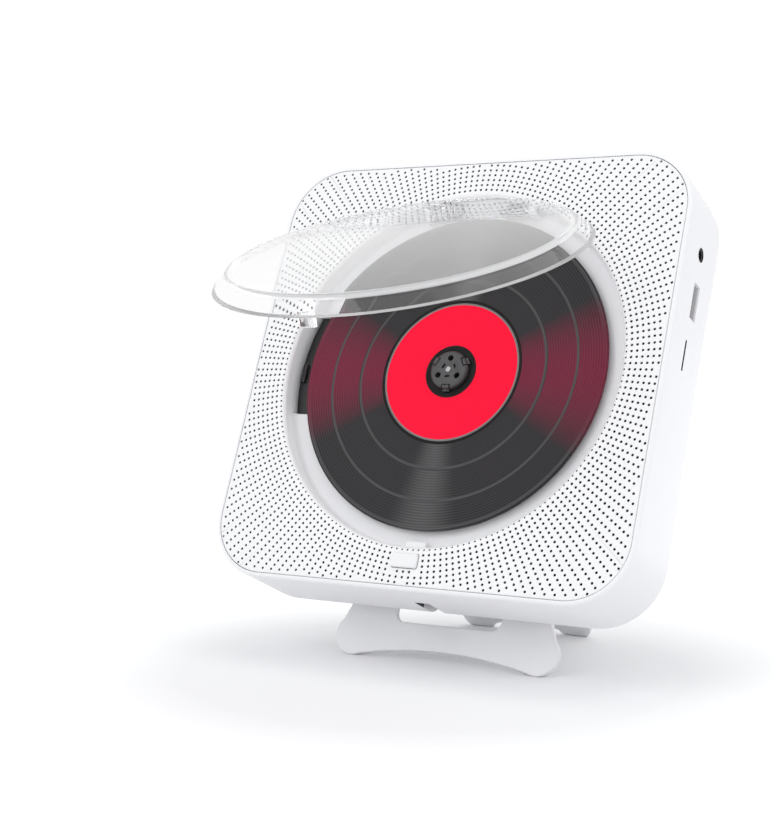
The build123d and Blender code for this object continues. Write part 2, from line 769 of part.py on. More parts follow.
with BuildPart() as drive_gear:
    with BuildSketch(face.offset(-22.2)):
        with Locations(gear_at):
            Polygon(*gear_points(wheel_module, wheel_teeth), align=None)
    extrude(amount=1.5)
    with BuildSketch(face.offset(-20.7)):
        with Locations(gear_at):
            Polygon(*gear_points(rack_module, rack_wheel_teeth), align=None)
    extrude(amount=4.5)
    with BuildSketch(face.offset(-22.2)):
        with Locations(gear_at):
            Circle(1.06)
    extrude(amount=6, mode=Mode.SUBTRACT)
save(drive_gear, "drive_gear")

with BuildPart() as gear_clip:
    with BuildSketch(face.offset(-22.55)):
        with Locations(gear_at):
            Circle(2.2)
            Circle(0.84, mode=Mode.SUBTRACT)
        with Locations((gear_at[0] + 2, gear_at[1])):
            Rectangle(4.0, 1.3, mode=Mode.SUBTRACT)
    extrude(amount=-0.4)
save(gear_clip, "gear_clip")

with BuildPart() as sled_motor:
    with BuildSketch(face.offset(underside)):
        with Locations(motor_at):
            barrel(8.0)
    extrude(amount=-6.0)
    with BuildSketch(face.offset(underside)):
        with Locations(motor_at):
            stud(2.1)
    extrude(amount=1.2)
    with BuildSketch(face.offset(underside - 6.0)):
        with Locations(motor_at):
            Circle(0.82)
    extrude(amount=6.6, mode=Mode.SUBTRACT)
save(sled_motor, "sled_motor")

with BuildPart() as motor_shaft:
    with BuildSketch(face.offset(-22.7)):
        with Locations(motor_at):
            Circle(0.75)
    extrude(amount=8.9)
save(motor_shaft, "motor_shaft")

with BuildPart() as motor_pinion:
    with BuildSketch(face.offset(-22.4)):
        with Locations(motor_at):
            Polygon(*gear_points(wheel_module, pinion_teeth), align=None)
            Circle(0.77, mode=Mode.SUBTRACT)
    extrude(amount=2.1)
save(motor_pinion, "motor_pinion")

# ---------------------------------------------------------------- speakers
for side, centre in speakers_at.items():
    # the frame: a flat flange with two ears, a tapering basket with four windows and a back ring
    with BuildPart() as speaker_frame:
        with BuildSketch(face.offset(speaker_seat - flange_thick)):
            with Locations(centre):
                barrel(15.2)
        extrude(amount=flange_thick - speaker_depth - speaker_seat)
        with BuildSketch(face.offset(speaker_seat)):
            with Locations(centre):
                barrel(17.0)
            with Locations(Location((*centre, 0), 45 if centre[0] > 0 else -45)):
                Rectangle(46, 6)
            with Locations(*speaker_ears(centre)):
                stud(1.3, mode=Mode.SUBTRACT)
        extrude(amount=-flange_thick)
        with BuildSketch(face.offset(speaker_seat)):
            with Locations(centre):
                barrel(13.8)
        extrude(amount=basket_thick - speaker_depth - speaker_seat, mode=Mode.SUBTRACT)
        funnel(speaker_frame, 1, 5.0, 7.6)
        funnel(speaker_frame, 0, 5.4, 8.2)
        with BuildSketch(face.offset(speaker_seat)):
            with Locations(centre):
                barrel(15.0)
        extrude(amount=-1.0, mode=Mode.SUBTRACT)
        with BuildSketch(face.offset(-12.0)):
            with Locations(centre):
                barrel(4.6)
        extrude(amount=-2.0, mode=Mode.SUBTRACT)
        with BuildSketch(face.offset(-6.2)):
            with Locations(centre):
                with PolarLocations(11.0, 4):
                    Rectangle(6.0, 8.0)
        extrude(amount=-6.0, mode=Mode.SUBTRACT)
    save(speaker_frame, f"speaker_frame_{side}")

    # the cone: a thin paper funnel with a dust cap in its throat and a flat rim on the frame's ledge
    with BuildPart() as speaker_cone:
        with BuildSketch(face.offset(-3.8)):
            with Locations(centre):
                barrel(13.4)
        extrude(amount=-5.2)
        with BuildSketch(face.offset(-3.8)):
            with Locations(centre):
                barrel(13.0)
        extrude(amount=-4.2, mode=Mode.SUBTRACT)
        funnel(speaker_cone, 1, 7.2, 4.1)
        funnel(speaker_cone, 0, 7.9, 4.5)
        with BuildSketch(face.offset(-3.8)):
            with Locations(centre):
                barrel(14.8)
                barrel(12.9, mode=Mode.SUBTRACT)
        extrude(amount=-0.6)
    save(speaker_cone, f"speaker_cone_{side}")

    with BuildPart() as speaker_magnet:
        with BuildSketch(face.offset(-speaker_depth)):
            with Locations(centre):
                barrel(9.0)
        extrude(amount=-6.4)
        with BuildSketch(face.offset(-speaker_depth)):
            with Locations(centre):
                stud(2.6)
        extrude(amount=3.0)
    save(speaker_magnet, f"speaker_magnet_{side}")

ears = [ear for centre in speakers_at.values() for ear in speaker_ears(centre)]
with BuildPart() as speaker_screws:
    with BuildSketch(face.offset(speaker_seat - flange_thick)):
        with Locations(*ears):
            barrel(2.2)
    extrude(amount=-1.4)
    with BuildSketch(face.offset(speaker_seat - flange_thick)):
        with Locations(*ears):
            stud(1.08)
    extrude(amount=3.6)
save(speaker_screws, "speaker_screws")

# ---------------------------------------------------------------- main board and sockets
board_bottom = board_top - 1.6
board_right = body_half - body_wall - 0.4
with BuildPart() as main_board:
    with BuildSketch(face.offset(board_top)):
        with Locations(((36 + board_right) / 2, 9.5)):
            Rectangle(board_right - 36, 95)
        with Locations(*board_screws_at):
            stud(1.3, mode=Mode.SUBTRACT)
    extrude(amount=board_bottom - board_top)
save(main_board, "main_board")

with BuildPart() as board_screws:
    with BuildSketch(face.offset(board_top)):
        with Locations(*board_screws_at):
            barrel(2.4)
    extrude(amount=1.4)
    with BuildSketch(face.offset(board_top)):
        with Locations(*board_screws_at):
            stud(0.94)
    extrude(amount=-7.6)
save(board_screws, "board_screws")

with BuildPart() as board_chips:
    for x, y, width, height, thick in ((55, -8, 14, 14, 1.6), (50, 36, 8, 12, 1.4), (66, -18, 6, 5, 1.4)):
        with BuildSketch(face.offset(board_top)):
            with Locations((x, y)):
                Rectangle(width, height)
        extrude(amount=thick)
save(board_chips, "board_chips")

with BuildPart() as board_capacitors:
    with BuildSketch(face.offset(board_top)):
        with Locations((42, 8), (42, 18), (52, -30)):
            barrel(3.1)
    extrude(amount=7)
save(board_capacitors, "board_capacitors")

inner_right = body_half - body_wall
with BuildPart() as audio_jack:
    with BuildSketch(profile.offset(inner_right - 0.1)):
        with Locations((49.0, -16.0)):
            Rectangle(6.6, 8.0)
    extrude(amount=-12.6)
    with BuildSketch(profile.offset(inner_right - 0.1)):
        with Locations(jack_at):
            Circle(2.5)
    extrude(amount=1.8)
    with BuildSketch(profile.offset(inner_right + 1.7)):
        with Locations(jack_at):
            Circle(1.8)
    extrude(amount=-13, mode=Mode.SUBTRACT)
save(audio_jack, "audio_jack")

with BuildPart() as usb_socket:
    with BuildSketch(profile.offset(body_half - 0.4)):
        with Locations(usb_at):
            Rectangle(13.0, 5.3)
    extrude(amount=-15.6)
    with BuildSketch(profile.offset(body_half - 0.4)):
        with Locations(usb_at):
            Rectangle(12.4, 4.7)
    extrude(amount=-14.6, mode=Mode.SUBTRACT)
    with BuildSketch(face.offset(board_top)):
        with Locations((70.5, 27.6), (70.5, 35.6), (77.5, 27.6), (77.5, 35.6)):
            Rectangle(3.0, 2.0)
    extrude(amount=usb_at[1] - 2.65 - board_top)
save(usb_socket, "usb_socket")

with BuildPart() as usb_tongue:
    with BuildSketch(profile.offset(body_half - 15.0)):
        with Locations((31.6, -15.4)):
            Rectangle(11.1, 1.9)
    extrude(amount=12.8)
save(usb_tongue, "usb_tongue")

with BuildPart() as card_socket:
    with BuildSketch(face.offset(-12.9)):
        with Locations((inner_right - 7.6, 11.1)):
            Rectangle(15, 13.8)
    extrude(amount=-3.4)
    with BuildSketch(profile.offset(inner_right)):
        with Locations(card_at):
            Rectangle(11.0, 0.9)
    extrude(amount=-13.6, mode=Mode.SUBTRACT)
    with BuildSketch(face.offset(-16.3)):
        with Locations((inner_right - 3, 5.6), (inner_right - 3, 16.6), (inner_right - 13, 5.6),
                       (inner_right - 13, 16.6)):
            Rectangle(2.0, 2.0)
    extrude(amount=board_top + 16.3)
save(card_socket, "card_socket")

with BuildPart() as dc_socket:
    with BuildSketch(across(-80.4)):
        with Locations((0, inlet_z)):
            Rectangle(5.7, 7.1)
    extrude(amount=-7.8)
    with BuildSketch(across(-80.4)):
        with Locations((0, inlet_z)):
            Circle(2.1)
    extrude(amount=-6.4, mode=Mode.SUBTRACT)
    with BuildSketch(across(-74.4)):
        with Locations((0, inlet_z)):
            Circle(0.8)
    extrude(amount=5.4)
save(dc_socket, "dc_socket")

# ---------------------------------------------------------------- keys on the top edge
key_board_low = 72.5
switch_low = key_board_low + 1.6
with BuildPart() as key_board:
    with BuildSketch(across(key_board_low)):
        with Locations((0, -20.0)):
            Rectangle(89.0, 14.0)
    extrude(amount=-1.6)
save(key_board, "key_board")

with BuildPart() as tact_switches:
    with BuildSketch(across(switch_low)):
        with Locations((0, key_z)):
            with GridLocations(key_pitch, 1, key_count, 1):
                Rectangle(6.0, 6.0)
    extrude(amount=-3.2)
    with BuildSketch(across(switch_low + 3.2)):
        with Locations((0, key_z)):
            with GridLocations(key_pitch, 1, key_count, 1):
                stud(1.7)
    extrude(amount=-0.6)
save(tact_switches, "tact_switches")

for i, word in enumerate(("power", "mode", "previous", "play", "next")):
    key_x = (i - (key_count - 1) / 2) * key_pitch
    with BuildPart() as key:
        with BuildSketch(across(80.9)):
            with Locations((key_x, key_z)):
                Rectangle(12.0, 5.0)
        extrude(amount=-2.9)
        chamfer(key.faces().sort_by(Axis(face.origin, face.y_dir))[-1].edges(), 0.4)
        with BuildSketch(across(80.9)):
            with Locations((key_x, key_z)):
                Rectangle(13.6, 6.6)
        extrude(amount=1.2)
        with BuildSketch(across(79.7)):
            with Locations((key_x, key_z)):
                stud(1.5)
        extrude(amount=1.2)
    save(key, f"key_{word}")

# ---------------------------------------------------------------- stand
# One moulding bent like an upturned V: a wide front frame that hooks into two keyholes in the
# housing's back, and a narrower leg that reaches to the floor behind it.
side_view = Plane.YZ
middle = stand_back + stand_thick / 2
apex = face.from_local_coords((0, stand_apex_y, middle))
front_toe = face.from_local_coords((0, foot_y - foot_radius - 6, middle))
front_heel = face.from_local_coords((0, foot_y - foot_radius, stand_back))
rear_toe = Vector(0, front_heel.Y + rear_reach, 0)
down = (rear_toe - apex).normalized()
rear_end = rear_toe + down * 6
rear_plane = Plane(origin=apex, x_dir=(1, 0, 0), z_dir=(0, -down.Z, down.Y))
leg_length = (rear_toe - apex).length
rear_end_y = leg_length + 1.2            # the rear feet are drawn past the floor and cut flat by it
rear_foot_y = rear_end_y - rear_foot_radius
front_side_x = foot_x + foot_radius
rear_side_x = rear_foot_x + rear_foot_radius

with BuildPart() as stand_bracket:
    with BuildSketch(side_view):
        with BuildLine() as spine:
            Polyline((front_toe.Y, front_toe.Z), (apex.Y, apex.Z), (rear_end.Y, rear_end.Z))
            fillet(spine.vertices().sort_by(Axis.Y)[1], stand_bend)
        trace(line_width=stand_thick)
    extrude(amount=front_side_x, both=True)
    for side in (-1, 1):
        with BuildSketch(side_view.offset(side * stand_waist)):
            with Locations((apex.Y, apex.Z)):
                Circle(bend_reach)
        extrude(amount=side * bend_reach, mode=Mode.SUBTRACT)
    # front frame: two uprights on rounded feet, joined by a low bar with an arch under it
    with BuildSketch(face.offset(stand_back - 0.6)):
        with Locations((0, -65)):
            Rectangle(120, 100)
        with BuildLine():
            Polyline((stand_waist, stand_apex_y + 12), (stand_waist, stand_apex_y - bend_reach),
                     (41.0, -81.5), (front_side_x, foot_y), (-front_side_x, foot_y), (-41.0, -81.5),
                     (-stand_waist, stand_apex_y - bend_reach), (-stand_waist, stand_apex_y + 12), close=True)
        make_face(mode=Mode.SUBTRACT)
        with Locations((foot_x, foot_y), (-foot_x, foot_y)):
            Circle(foot_radius, mode=Mode.SUBTRACT)
        with BuildLine():
            Polyline((foot_x, -92), (-foot_x, -92), (-foot_x, foot_y - foot_radius))
            ThreePointArc((-foot_x, foot_y - foot_radius), (0, arch_y), (foot_x, foot_y - foot_radius))
            Line((foot_x, foot_y - foot_radius), (foot_x, -92))
        make_face(mode=Mode.SUBTRACT)
        with Locations((0, (-86.0 - 34.0) / 2)):
            RectangleRounded(43.4, 52.0, 4.0)
    extrude(amount=stand_thick + 1.2, mode=Mode.SUBTRACT)
    # rear leg: narrower, on two small rounded feet with an arch between them
    with BuildSketch(rear_plane.offset(stand_thick / 2 + 0.6)):
        with Locations((0, 50)):
            Rectangle(120, 112)
        with BuildLine():
            Polyline((stand_waist, -8), (stand_waist, bend_reach), (rear_side_x, rear_foot_y),
                     (-rear_side_x, rear_foot_y), (-stand_waist, bend_reach), (-stand_waist, -8), close=True)
        make_face(mode=Mode.SUBTRACT)
        with Locations((rear_foot_x, rear_foot_y), (-rear_foot_x, rear_foot_y)):
            Circle(rear_foot_radius, mode=Mode.SUBTRACT)
        with BuildLine():
            Polyline((rear_foot_x, rear_end_y), (rear_foot_x, rear_foot_y - 1),
                     (-rear_foot_x, rear_foot_y - 1), (-rear_foot_x, rear_end_y))
            ThreePointArc((-rear_foot_x, rear_end_y), (0, rear_end_y - rear_arch), (rear_foot_x, rear_end_y))
        make_face(mode=Mode.SUBTRACT)
    extrude(amount=-stand_thick - 1.2, mode=Mode.SUBTRACT)
    # studs that hook into the housing's keyholes
    with BuildSketch(face.offset(stand_back + stand_thick - 1)):
        with Locations(*studs_at):
            Circle(2.0)
    extrude(amount=stand_gap + body_wall + 1.2)
    with BuildSketch(face.offset(shell_floor + 0.2)):
        with Locations(*studs_at):
            Circle(3.7)
    extrude(amount=1.4)
    # flat soles at floor level
    with BuildSketch(Plane.XY):
        Rectangle(200, 300)
    extrude(amount=-40, mode=Mode.SUBTRACT)
save(stand_bracket, "stand_bracket")
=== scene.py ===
import bpy
import json
from math import cos, hypot, pi, radians, sin
from mathutils import Matrix, Vector


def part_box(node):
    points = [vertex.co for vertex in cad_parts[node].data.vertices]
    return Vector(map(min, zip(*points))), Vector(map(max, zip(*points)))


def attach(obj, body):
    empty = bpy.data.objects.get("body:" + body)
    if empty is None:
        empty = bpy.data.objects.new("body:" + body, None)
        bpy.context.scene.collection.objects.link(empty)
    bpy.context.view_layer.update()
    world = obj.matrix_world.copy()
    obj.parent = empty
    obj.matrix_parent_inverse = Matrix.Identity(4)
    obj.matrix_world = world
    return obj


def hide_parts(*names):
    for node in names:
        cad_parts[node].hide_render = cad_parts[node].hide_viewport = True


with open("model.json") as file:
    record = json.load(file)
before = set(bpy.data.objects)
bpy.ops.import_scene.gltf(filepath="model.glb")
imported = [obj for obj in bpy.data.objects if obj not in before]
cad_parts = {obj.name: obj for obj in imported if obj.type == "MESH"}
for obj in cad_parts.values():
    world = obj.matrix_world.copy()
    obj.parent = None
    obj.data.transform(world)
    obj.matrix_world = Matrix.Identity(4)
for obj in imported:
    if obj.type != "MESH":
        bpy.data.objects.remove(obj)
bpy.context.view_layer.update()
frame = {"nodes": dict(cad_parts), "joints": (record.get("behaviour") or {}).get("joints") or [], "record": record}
nodes = frame["nodes"]

# ---------------------------------------------------------------- The face's own frame
# The player leans back, so each piece is modelled lying flat, with x across the face, y up it and
# z out of it, and is then stood up. The disc's axis in the frame gives the lean and the place.
joints = {joint["name"]: joint for joint in frame["joints"]}
outward = Vector(joints["disc_spin"]["axis"]).normalized()
upward = Vector((0, outward.z, -outward.y))
seat_depth = 0.0062                       # the disc rests this far behind the face
face_centre = Vector(joints["disc_spin"]["pos_m"]) + outward * seat_depth
face_matrix = Matrix((
    (1, 0, 0, face_centre.x),
    (0, upward.y, outward.y, face_centre.y),
    (0, upward.z, outward.z, face_centre.z),
    (0, 0, 0, 1),
))
mm = 0.001


def stand_up(piece, matrix=face_matrix):
    """Puts a piece modelled flat into its place on the leaning player, and applies the place."""
    bpy.ops.object.select_all(action="DESELECT")
    piece.select_set(True)
    bpy.context.view_layer.objects.active = piece
    piece.matrix_world = matrix @ piece.matrix_world
    bpy.ops.object.transform_apply(location=True, rotation=True, scale=True)
    return piece


# ---------------------------------------------------------------- Camera
# A long lens stands to the right of the player and a little above it, and looks down by 4 degrees.
camera_data = bpy.data.cameras.new("camera")
camera = bpy.data.objects.new("camera", camera_data)
bpy.context.collection.objects.link(camera)
camera_spot = Vector((0.27606, -0.18862, 0.47823))
view_line = Vector((-0.5088, 0.2763, -0.8154)).normalized()
view_up = Vector((-0.0349, 0.9397, 0.3402))
view_right = view_line.cross(view_up).normalized()
view_up = view_right.cross(view_line)
turn = Matrix((view_right, view_up, -view_line)).transposed().to_4x4()
camera.matrix_world = face_matrix @ Matrix.Translation(camera_spot) @ turn
camera_data.sensor_width = 36
camera_data.sensor_fit = "AUTO"
camera_data.lens = 71.7
camera_data.shift_x = 0.0127
camera_data.shift_y = 0.031
camera_data.clip_start = 0.01
bpy.context.scene.camera = camera

# ---------------------------------------------------------------- Floor and light
# A wide pale sheet under the player and a white surround, which the clear lid and the metal show.
bpy.context.scene.view_settings.view_transform = "Standard"
floor_width, floor_spot = 30, (0, 8, -0.0001)
bpy.ops.mesh.primitive_grid_add(x_subdivisions=2, y_subdivisions=2, size=floor_width,
                                location=floor_spot)
floor = bpy.context.object
floor.name = "floor"
bpy.ops.object.transform_apply(location=True, rotation=True, scale=True)


def seen_ray(tree):
    """One where a ray comes straight from the camera, a mirror or through glass, else nothing."""
    path = tree.nodes.new("ShaderNodeLightPath")
    first = tree.nodes.new("ShaderNodeMath")
    first.operation = "MAXIMUM"
    tree.links.new(path.outputs["Is Camera Ray"], first.inputs[0])
    tree.links.new(path.outputs["Is Glossy Ray"], first.inputs[1])
    both = tree.nodes.new("ShaderNodeMath")
    both.operation = "MAXIMUM"
    tree.links.new(first.outputs[0], both.inputs[0])
    tree.links.new(path.outputs["Is Transmission Ray"], both.inputs[1])
    return both.outputs[0]


floor_paint = bpy.data.materials.new("floor_paint")
floor_paint.use_nodes = True
tree = floor_paint.node_tree
shader = tree.nodes["Principled BSDF"]
shader.inputs["Base Color"].default_value = (0.88, 0.88, 0.885, 1)
shader.inputs["Roughness"].default_value = 0.9
shader.inputs["Specular IOR Level"].default_value = 0.0
glow = tree.nodes.new("ShaderNodeEmission")
glow.inputs["Color"].default_value = (1, 1, 1, 1)
spot = tree.nodes.new("ShaderNodeTexCoord")
away = tree.nodes.new("ShaderNodeVectorMath")
away.operation = "LENGTH"
tree.links.new(spot.outputs["Object"], away.inputs[0])
# far from the player the floor glows plain white; nearer in, the glow fades, a painted shade round the player on
# top of its real shadow
shade_fade = tree.nodes.new("ShaderNodeMapRange")
shade_fade.inputs["From Min"].default_value = 0.09
shade_fade.inputs["From Max"].default_value = 0.34
shade_fade.inputs["To Min"].default_value = 0.04
shade_fade.inputs["To Max"].default_value = 0.9
tree.links.new(away.outputs["Value"], shade_fade.inputs["Value"])
strength = tree.nodes.new("ShaderNodeMath")
strength.operation = "MULTIPLY"
tree.links.new(shade_fade.outputs["Result"], strength.inputs[1])
tree.links.new(seen_ray(tree), strength.inputs[0])
tree.links.new(strength.outputs[0], glow.inputs["Strength"])
both = tree.nodes.new("ShaderNodeAddShader")
tree.links.new(shader.outputs[0], both.inputs[0])
tree.links.new(glow.outputs[0], both.inputs[1])
tree.links.new(both.outputs[0], tree.nodes["Material Output"].inputs["Surface"])
floor.data.materials.append(floor_paint)

world = bpy.data.worlds.new("surround")
bpy.context.scene.world = world
world.use_nodes = True
tree = world.node_tree
dim = tree.nodes["Background"]
dim.inputs["Color"].default_value = (0.97, 0.98, 1.0, 1)
dim.inputs["Strength"].default_value = 0.78
bright = tree.nodes.new("ShaderNodeBackground")
bright.inputs["Color"].default_value = (1, 1, 1, 1)
choose = tree.nodes.new("ShaderNodeMixShader")
tree.links.new(seen_ray(tree), choose.inputs[0])
tree.links.new(dim.outputs[0], choose.inputs[1])
tree.links.new(bright.outputs[0], choose.inputs[2])
tree.links.new(choose.outputs[0], tree.nodes["World Output"].inputs["Surface"])


def soft_lamp(name, spot, target, size, power):
    """A square lamp that faces its target."""
    lamp_data = bpy.data.lights.new(name, "AREA")
    lamp_data.size = size
    lamp_data.energy = power
    lamp = bpy.data.objects.new(name, lamp_data)
    bpy.context.collection.objects.link(lamp)
    lamp.location = spot
    lamp.rotation_euler = (Vector(target) - Vector(spot)).to_track_quat("-Z", "Y").to_euler()
    return lamp


soft_lamp("lamp_front", (-0.7, -1.3, 1.2), face_centre, 1.2, 7)
soft_lamp("lamp_right", (1.5, -0.3, 0.9), face_centre, 1.0, 3.8)
soft_lamp("lamp_top", (0.2, 0.3, 1.6), face_centre, 1.4, 4)

# ---------------------------------------------------------------- Housing
# The deep white tray that holds everything: one injection moulding with rounded back edges, a thin
# rim round the panel, and openings for the sockets, the keys, the power plug and the wall screws.
body_half, body_corner, body_depth = 83.0 * mm, 23.3 * mm, 38.5 * mm


def edit(piece, kind="FACE"):
    """Opens one piece in edit mode with nothing selected."""
    bpy.ops.object.select_all(action="DESELECT")
    bpy.context.view_layer.objects.active = piece
    piece.select_set(True)
    bpy.ops.object.mode_set(mode="EDIT")
    bpy.ops.mesh.select_mode(type=kind)
    bpy.ops.mesh.select_all(action="DESELECT")


def pick_edges(piece, test):
    """Selects the edges whose two ends pass the test, from inside edit mode."""
    bpy.ops.mesh.select_all(action="DESELECT")
    bpy.ops.object.mode_set(mode="OBJECT")
    mesh = piece.data
    for edge in mesh.edges:
        a, b = (mesh.vertices[i].co for i in edge.vertices)
        edge.select = test(a, b)
    bpy.ops.object.mode_set(mode="EDIT")


def pick_faces(piece, test):
    """Selects the faces whose middle and normal pass the test, from inside edit mode."""
    bpy.ops.mesh.select_all(action="DESELECT")
    bpy.ops.object.mode_set(mode="OBJECT")
    for face in piece.data.polygons:
        face.select = test(face.center, face.normal)
    bpy.ops.object.mode_set(mode="EDIT")


def square_block(name, half, corner, low, high, segments=14):
    """A block with a rounded square outline, flat on both sides."""
    bpy.ops.mesh.primitive_cube_add(size=1, location=(0, 0, (low + high) / 2))
    block = bpy.context.object
    block.name = name
    block.scale = (2 * half, 2 * half, high - low)
    bpy.ops.object.transform_apply(location=True, rotation=True, scale=True)
    edit(block, "EDGE")
    pick_edges(block, lambda a, b: abs(a.z - b.z) > 1e-6)
    bpy.ops.mesh.bevel(offset=corner, segments=segments, affect="EDGES")
    bpy.ops.object.mode_set(mode="OBJECT")
    return block


def tool_block(middle, size, corner=0.0):
    """A small block that cuts an opening; its edges along z are rounded by the corner."""
    bpy.ops.mesh.primitive_cube_add(size=1, location=middle)
    block = bpy.context.object
    block.scale = size
    bpy.ops.object.transform_apply(location=True, rotation=True, scale=True)
    if corner:
        edit(block, "EDGE")
        pick_edges(block, lambda a, b: abs(a.z - b.z) > 1e-6)
        bpy.ops.mesh.bevel(offset=corner, segments=4, affect="EDGES")
        bpy.ops.object.mode_set(mode="OBJECT")
    return block


def tool_rod(middle, radius, depth, along="Z", sides=40):
    """A round rod that cuts a hole along one axis."""
    turned_to = {"X": (0, pi / 2, 0), "Y": (pi / 2, 0, 0), "Z": (0, 0, 0)}[along]
    bpy.ops.mesh.primitive_cylinder_add(vertices=sides, radius=radius, depth=depth, location=middle,
                                        rotation=turned_to)
    rod = bpy.context.object
    bpy.ops.object.transform_apply(location=True, rotation=True, scale=True)
    return rod


def carve(piece, tools, operation="DIFFERENCE"):
    """Applies a boolean with each tool in turn and throws the tool away."""
    for tool in tools:
        bpy.ops.object.select_all(action="DESELECT")
        bpy.context.view_layer.objects.active = piece
        piece.select_set(True)
        cut = piece.modifiers.new("cut", "BOOLEAN")
        cut.operation = operation
        cut.solver = "MANIFOLD"
        cut.object = tool
        bpy.ops.object.modifier_apply(modifier=cut.name)
        bpy.data.objects.remove(tool)
    piece.data.materials.clear()
    return piece


def smooth(piece, angle=35):
    """Smooth shading, kept crisp at real edges."""
    bpy.ops.object.select_all(action="DESELECT")
    bpy.context.view_layer.objects.active = piece
    piece.select_set(True)
    bpy.ops.object.shade_smooth_by_angle(angle=radians(angle))
    return piece


housing = square_block("housing", body_half, body_corner, -body_depth, 0.0, 20)
edit(housing, "EDGE")
pick_edges(housing, lambda a, b: a.z < -38 * mm and b.z < -38 * mm)
bpy.ops.mesh.bevel(offset=9.0 * mm, segments=10, affect="EDGES")
pick_edges(housing, lambda a, b: a.z > -0.5 * mm and b.z > -0.5 * mm)
bpy.ops.mesh.bevel(offset=1.3 * mm, segments=5, affect="EDGES")
bpy.ops.mesh.select_mode(type="FACE")
rim_width = 1.56 * mm
pick_faces(housing, lambda middle, normal: normal.z > 0.99 and middle.z > -0.1 * mm)
bpy.ops.mesh.inset(thickness=rim_width - 1.3 * mm)
bpy.ops.mesh.extrude_region_move(TRANSFORM_OT_translate={"value": (0, 0, -2.5 * mm)})
bpy.ops.mesh.inset(thickness=0.44 * mm)
bpy.ops.mesh.extrude_region_move(TRANSFORM_OT_translate={"value": (0, 0, -29.0 * mm)})
bpy.ops.mesh.extrude_region_move(TRANSFORM_OT_translate={"value": (0, 0, -5.0 * mm)})
inner_half = 81.0 * mm
bpy.ops.transform.resize(value=(1 - 5 * mm / inner_half, 1 - 5 * mm / inner_half, 1))
bpy.ops.object.mode_set(mode="OBJECT")


def strip(corners, start, end):
    """A bar along x whose section has these four corners, each a height up the face and a depth."""
    bpy.ops.object.select_all(action="DESELECT")
    bpy.ops.mesh.primitive_plane_add(size=2 * mm, location=(start, 0, 0), rotation=(0, pi / 2, 0))
    bar = bpy.context.object
    bpy.ops.object.transform_apply(location=True, rotation=True, scale=True)
    order = [bar.data.polygons[0].vertices[i] for i in range(4)]
    for index, (y, z) in zip(order, corners):
        edit(bar, "VERT")
        bpy.ops.object.mode_set(mode="OBJECT")
        bar.data.vertices[index].select = True
        move = Vector((start, y, z)) - bar.data.vertices[index].co
        bpy.ops.object.mode_set(mode="EDIT")
        bpy.ops.transform.translate(value=move)
        bpy.ops.object.mode_set(mode="OBJECT")
    edit(bar)
    bpy.ops.mesh.select_all(action="SELECT")
    bpy.ops.mesh.extrude_region_move(TRANSFORM_OT_translate={"value": (end - start, 0, 0)})
    bpy.ops.mesh.select_all(action="SELECT")
    bpy.ops.mesh.normals_make_consistent(inside=False)
    bpy.ops.object.mode_set(mode="OBJECT")
    return bar


screw_spots = [(66, 66), (-66, 66), (36, -74), (-36, -74)]
socket_block = tool_block((0, -77.5 * mm, -26.1 * mm), (11 * mm, 9 * mm, 21.2 * mm))
edit(socket_block, "EDGE")
pick_edges(socket_block, lambda a, b: max(a.y, b.y) < -81 * mm and max(a.z, b.z) < -36 * mm)
bpy.ops.mesh.bevel(offset=3.4 * mm, segments=1, affect="EDGES")
bpy.ops.object.mode_set(mode="OBJECT")
carve(housing, [socket_block], "UNION")
for x, y in screw_spots:
    boss = tool_rod((x * mm, y * mm, -25.5 * mm), 4.8 * mm, 22.2 * mm)
    carve(housing, [boss], "UNION")

cuts = [
    tool_rod((83 * mm, 49.0 * mm, -15.4 * mm), 2.6 * mm, 8 * mm, "X"),
    tool_block((83 * mm, 31.6 * mm, -16.6 * mm), (8 * mm, 13.2 * mm, 5.5 * mm)),
    tool_block((83 * mm, 11.1 * mm, -14.6 * mm), (8 * mm, 11.2 * mm, 1.3 * mm)),
    tool_block((0, -78.5 * mm, -21.1 * mm), (5.8 * mm, 12.0 * mm, 7.2 * mm)),
    strip([(-80.6 * mm, -24.0 * mm), (-84 * mm, -24.0 * mm),
           (-84 * mm, -39.5 * mm), (-79.6 * mm, -39.5 * mm)], -2.9 * mm, 2.9 * mm),
]
key_pitch, key_slot_size = 16 * mm, (12.3 * mm, 8 * mm, 5.3 * mm)
for slot in range(-2, 3):
    cuts.append(tool_block((slot * key_pitch, 83 * mm, -19 * mm), key_slot_size))
for x, y in ((32, 36), (-32, 36), (28, -54), (-28, -54)):
    cuts.append(tool_rod((x * mm, (y - 4) * mm, -38.5 * mm), 4.2 * mm, 6 * mm))
    cuts.append(tool_block((x * mm, y * mm, -38.5 * mm), (4.4 * mm, 8 * mm, 6 * mm)))
    cuts.append(tool_rod((x * mm, (y + 4) * mm, -38.5 * mm), 2.2 * mm, 6 * mm))
for x, y in screw_spots:
    cuts.append(tool_rod((x * mm, y * mm, -32 * mm), 3.5 * mm, 20 * mm))
    cuts.append(tool_rod((x * mm, y * mm, -20 * mm), 1.8 * mm, 16 * mm))
carve(housing, cuts)
smooth(housing)


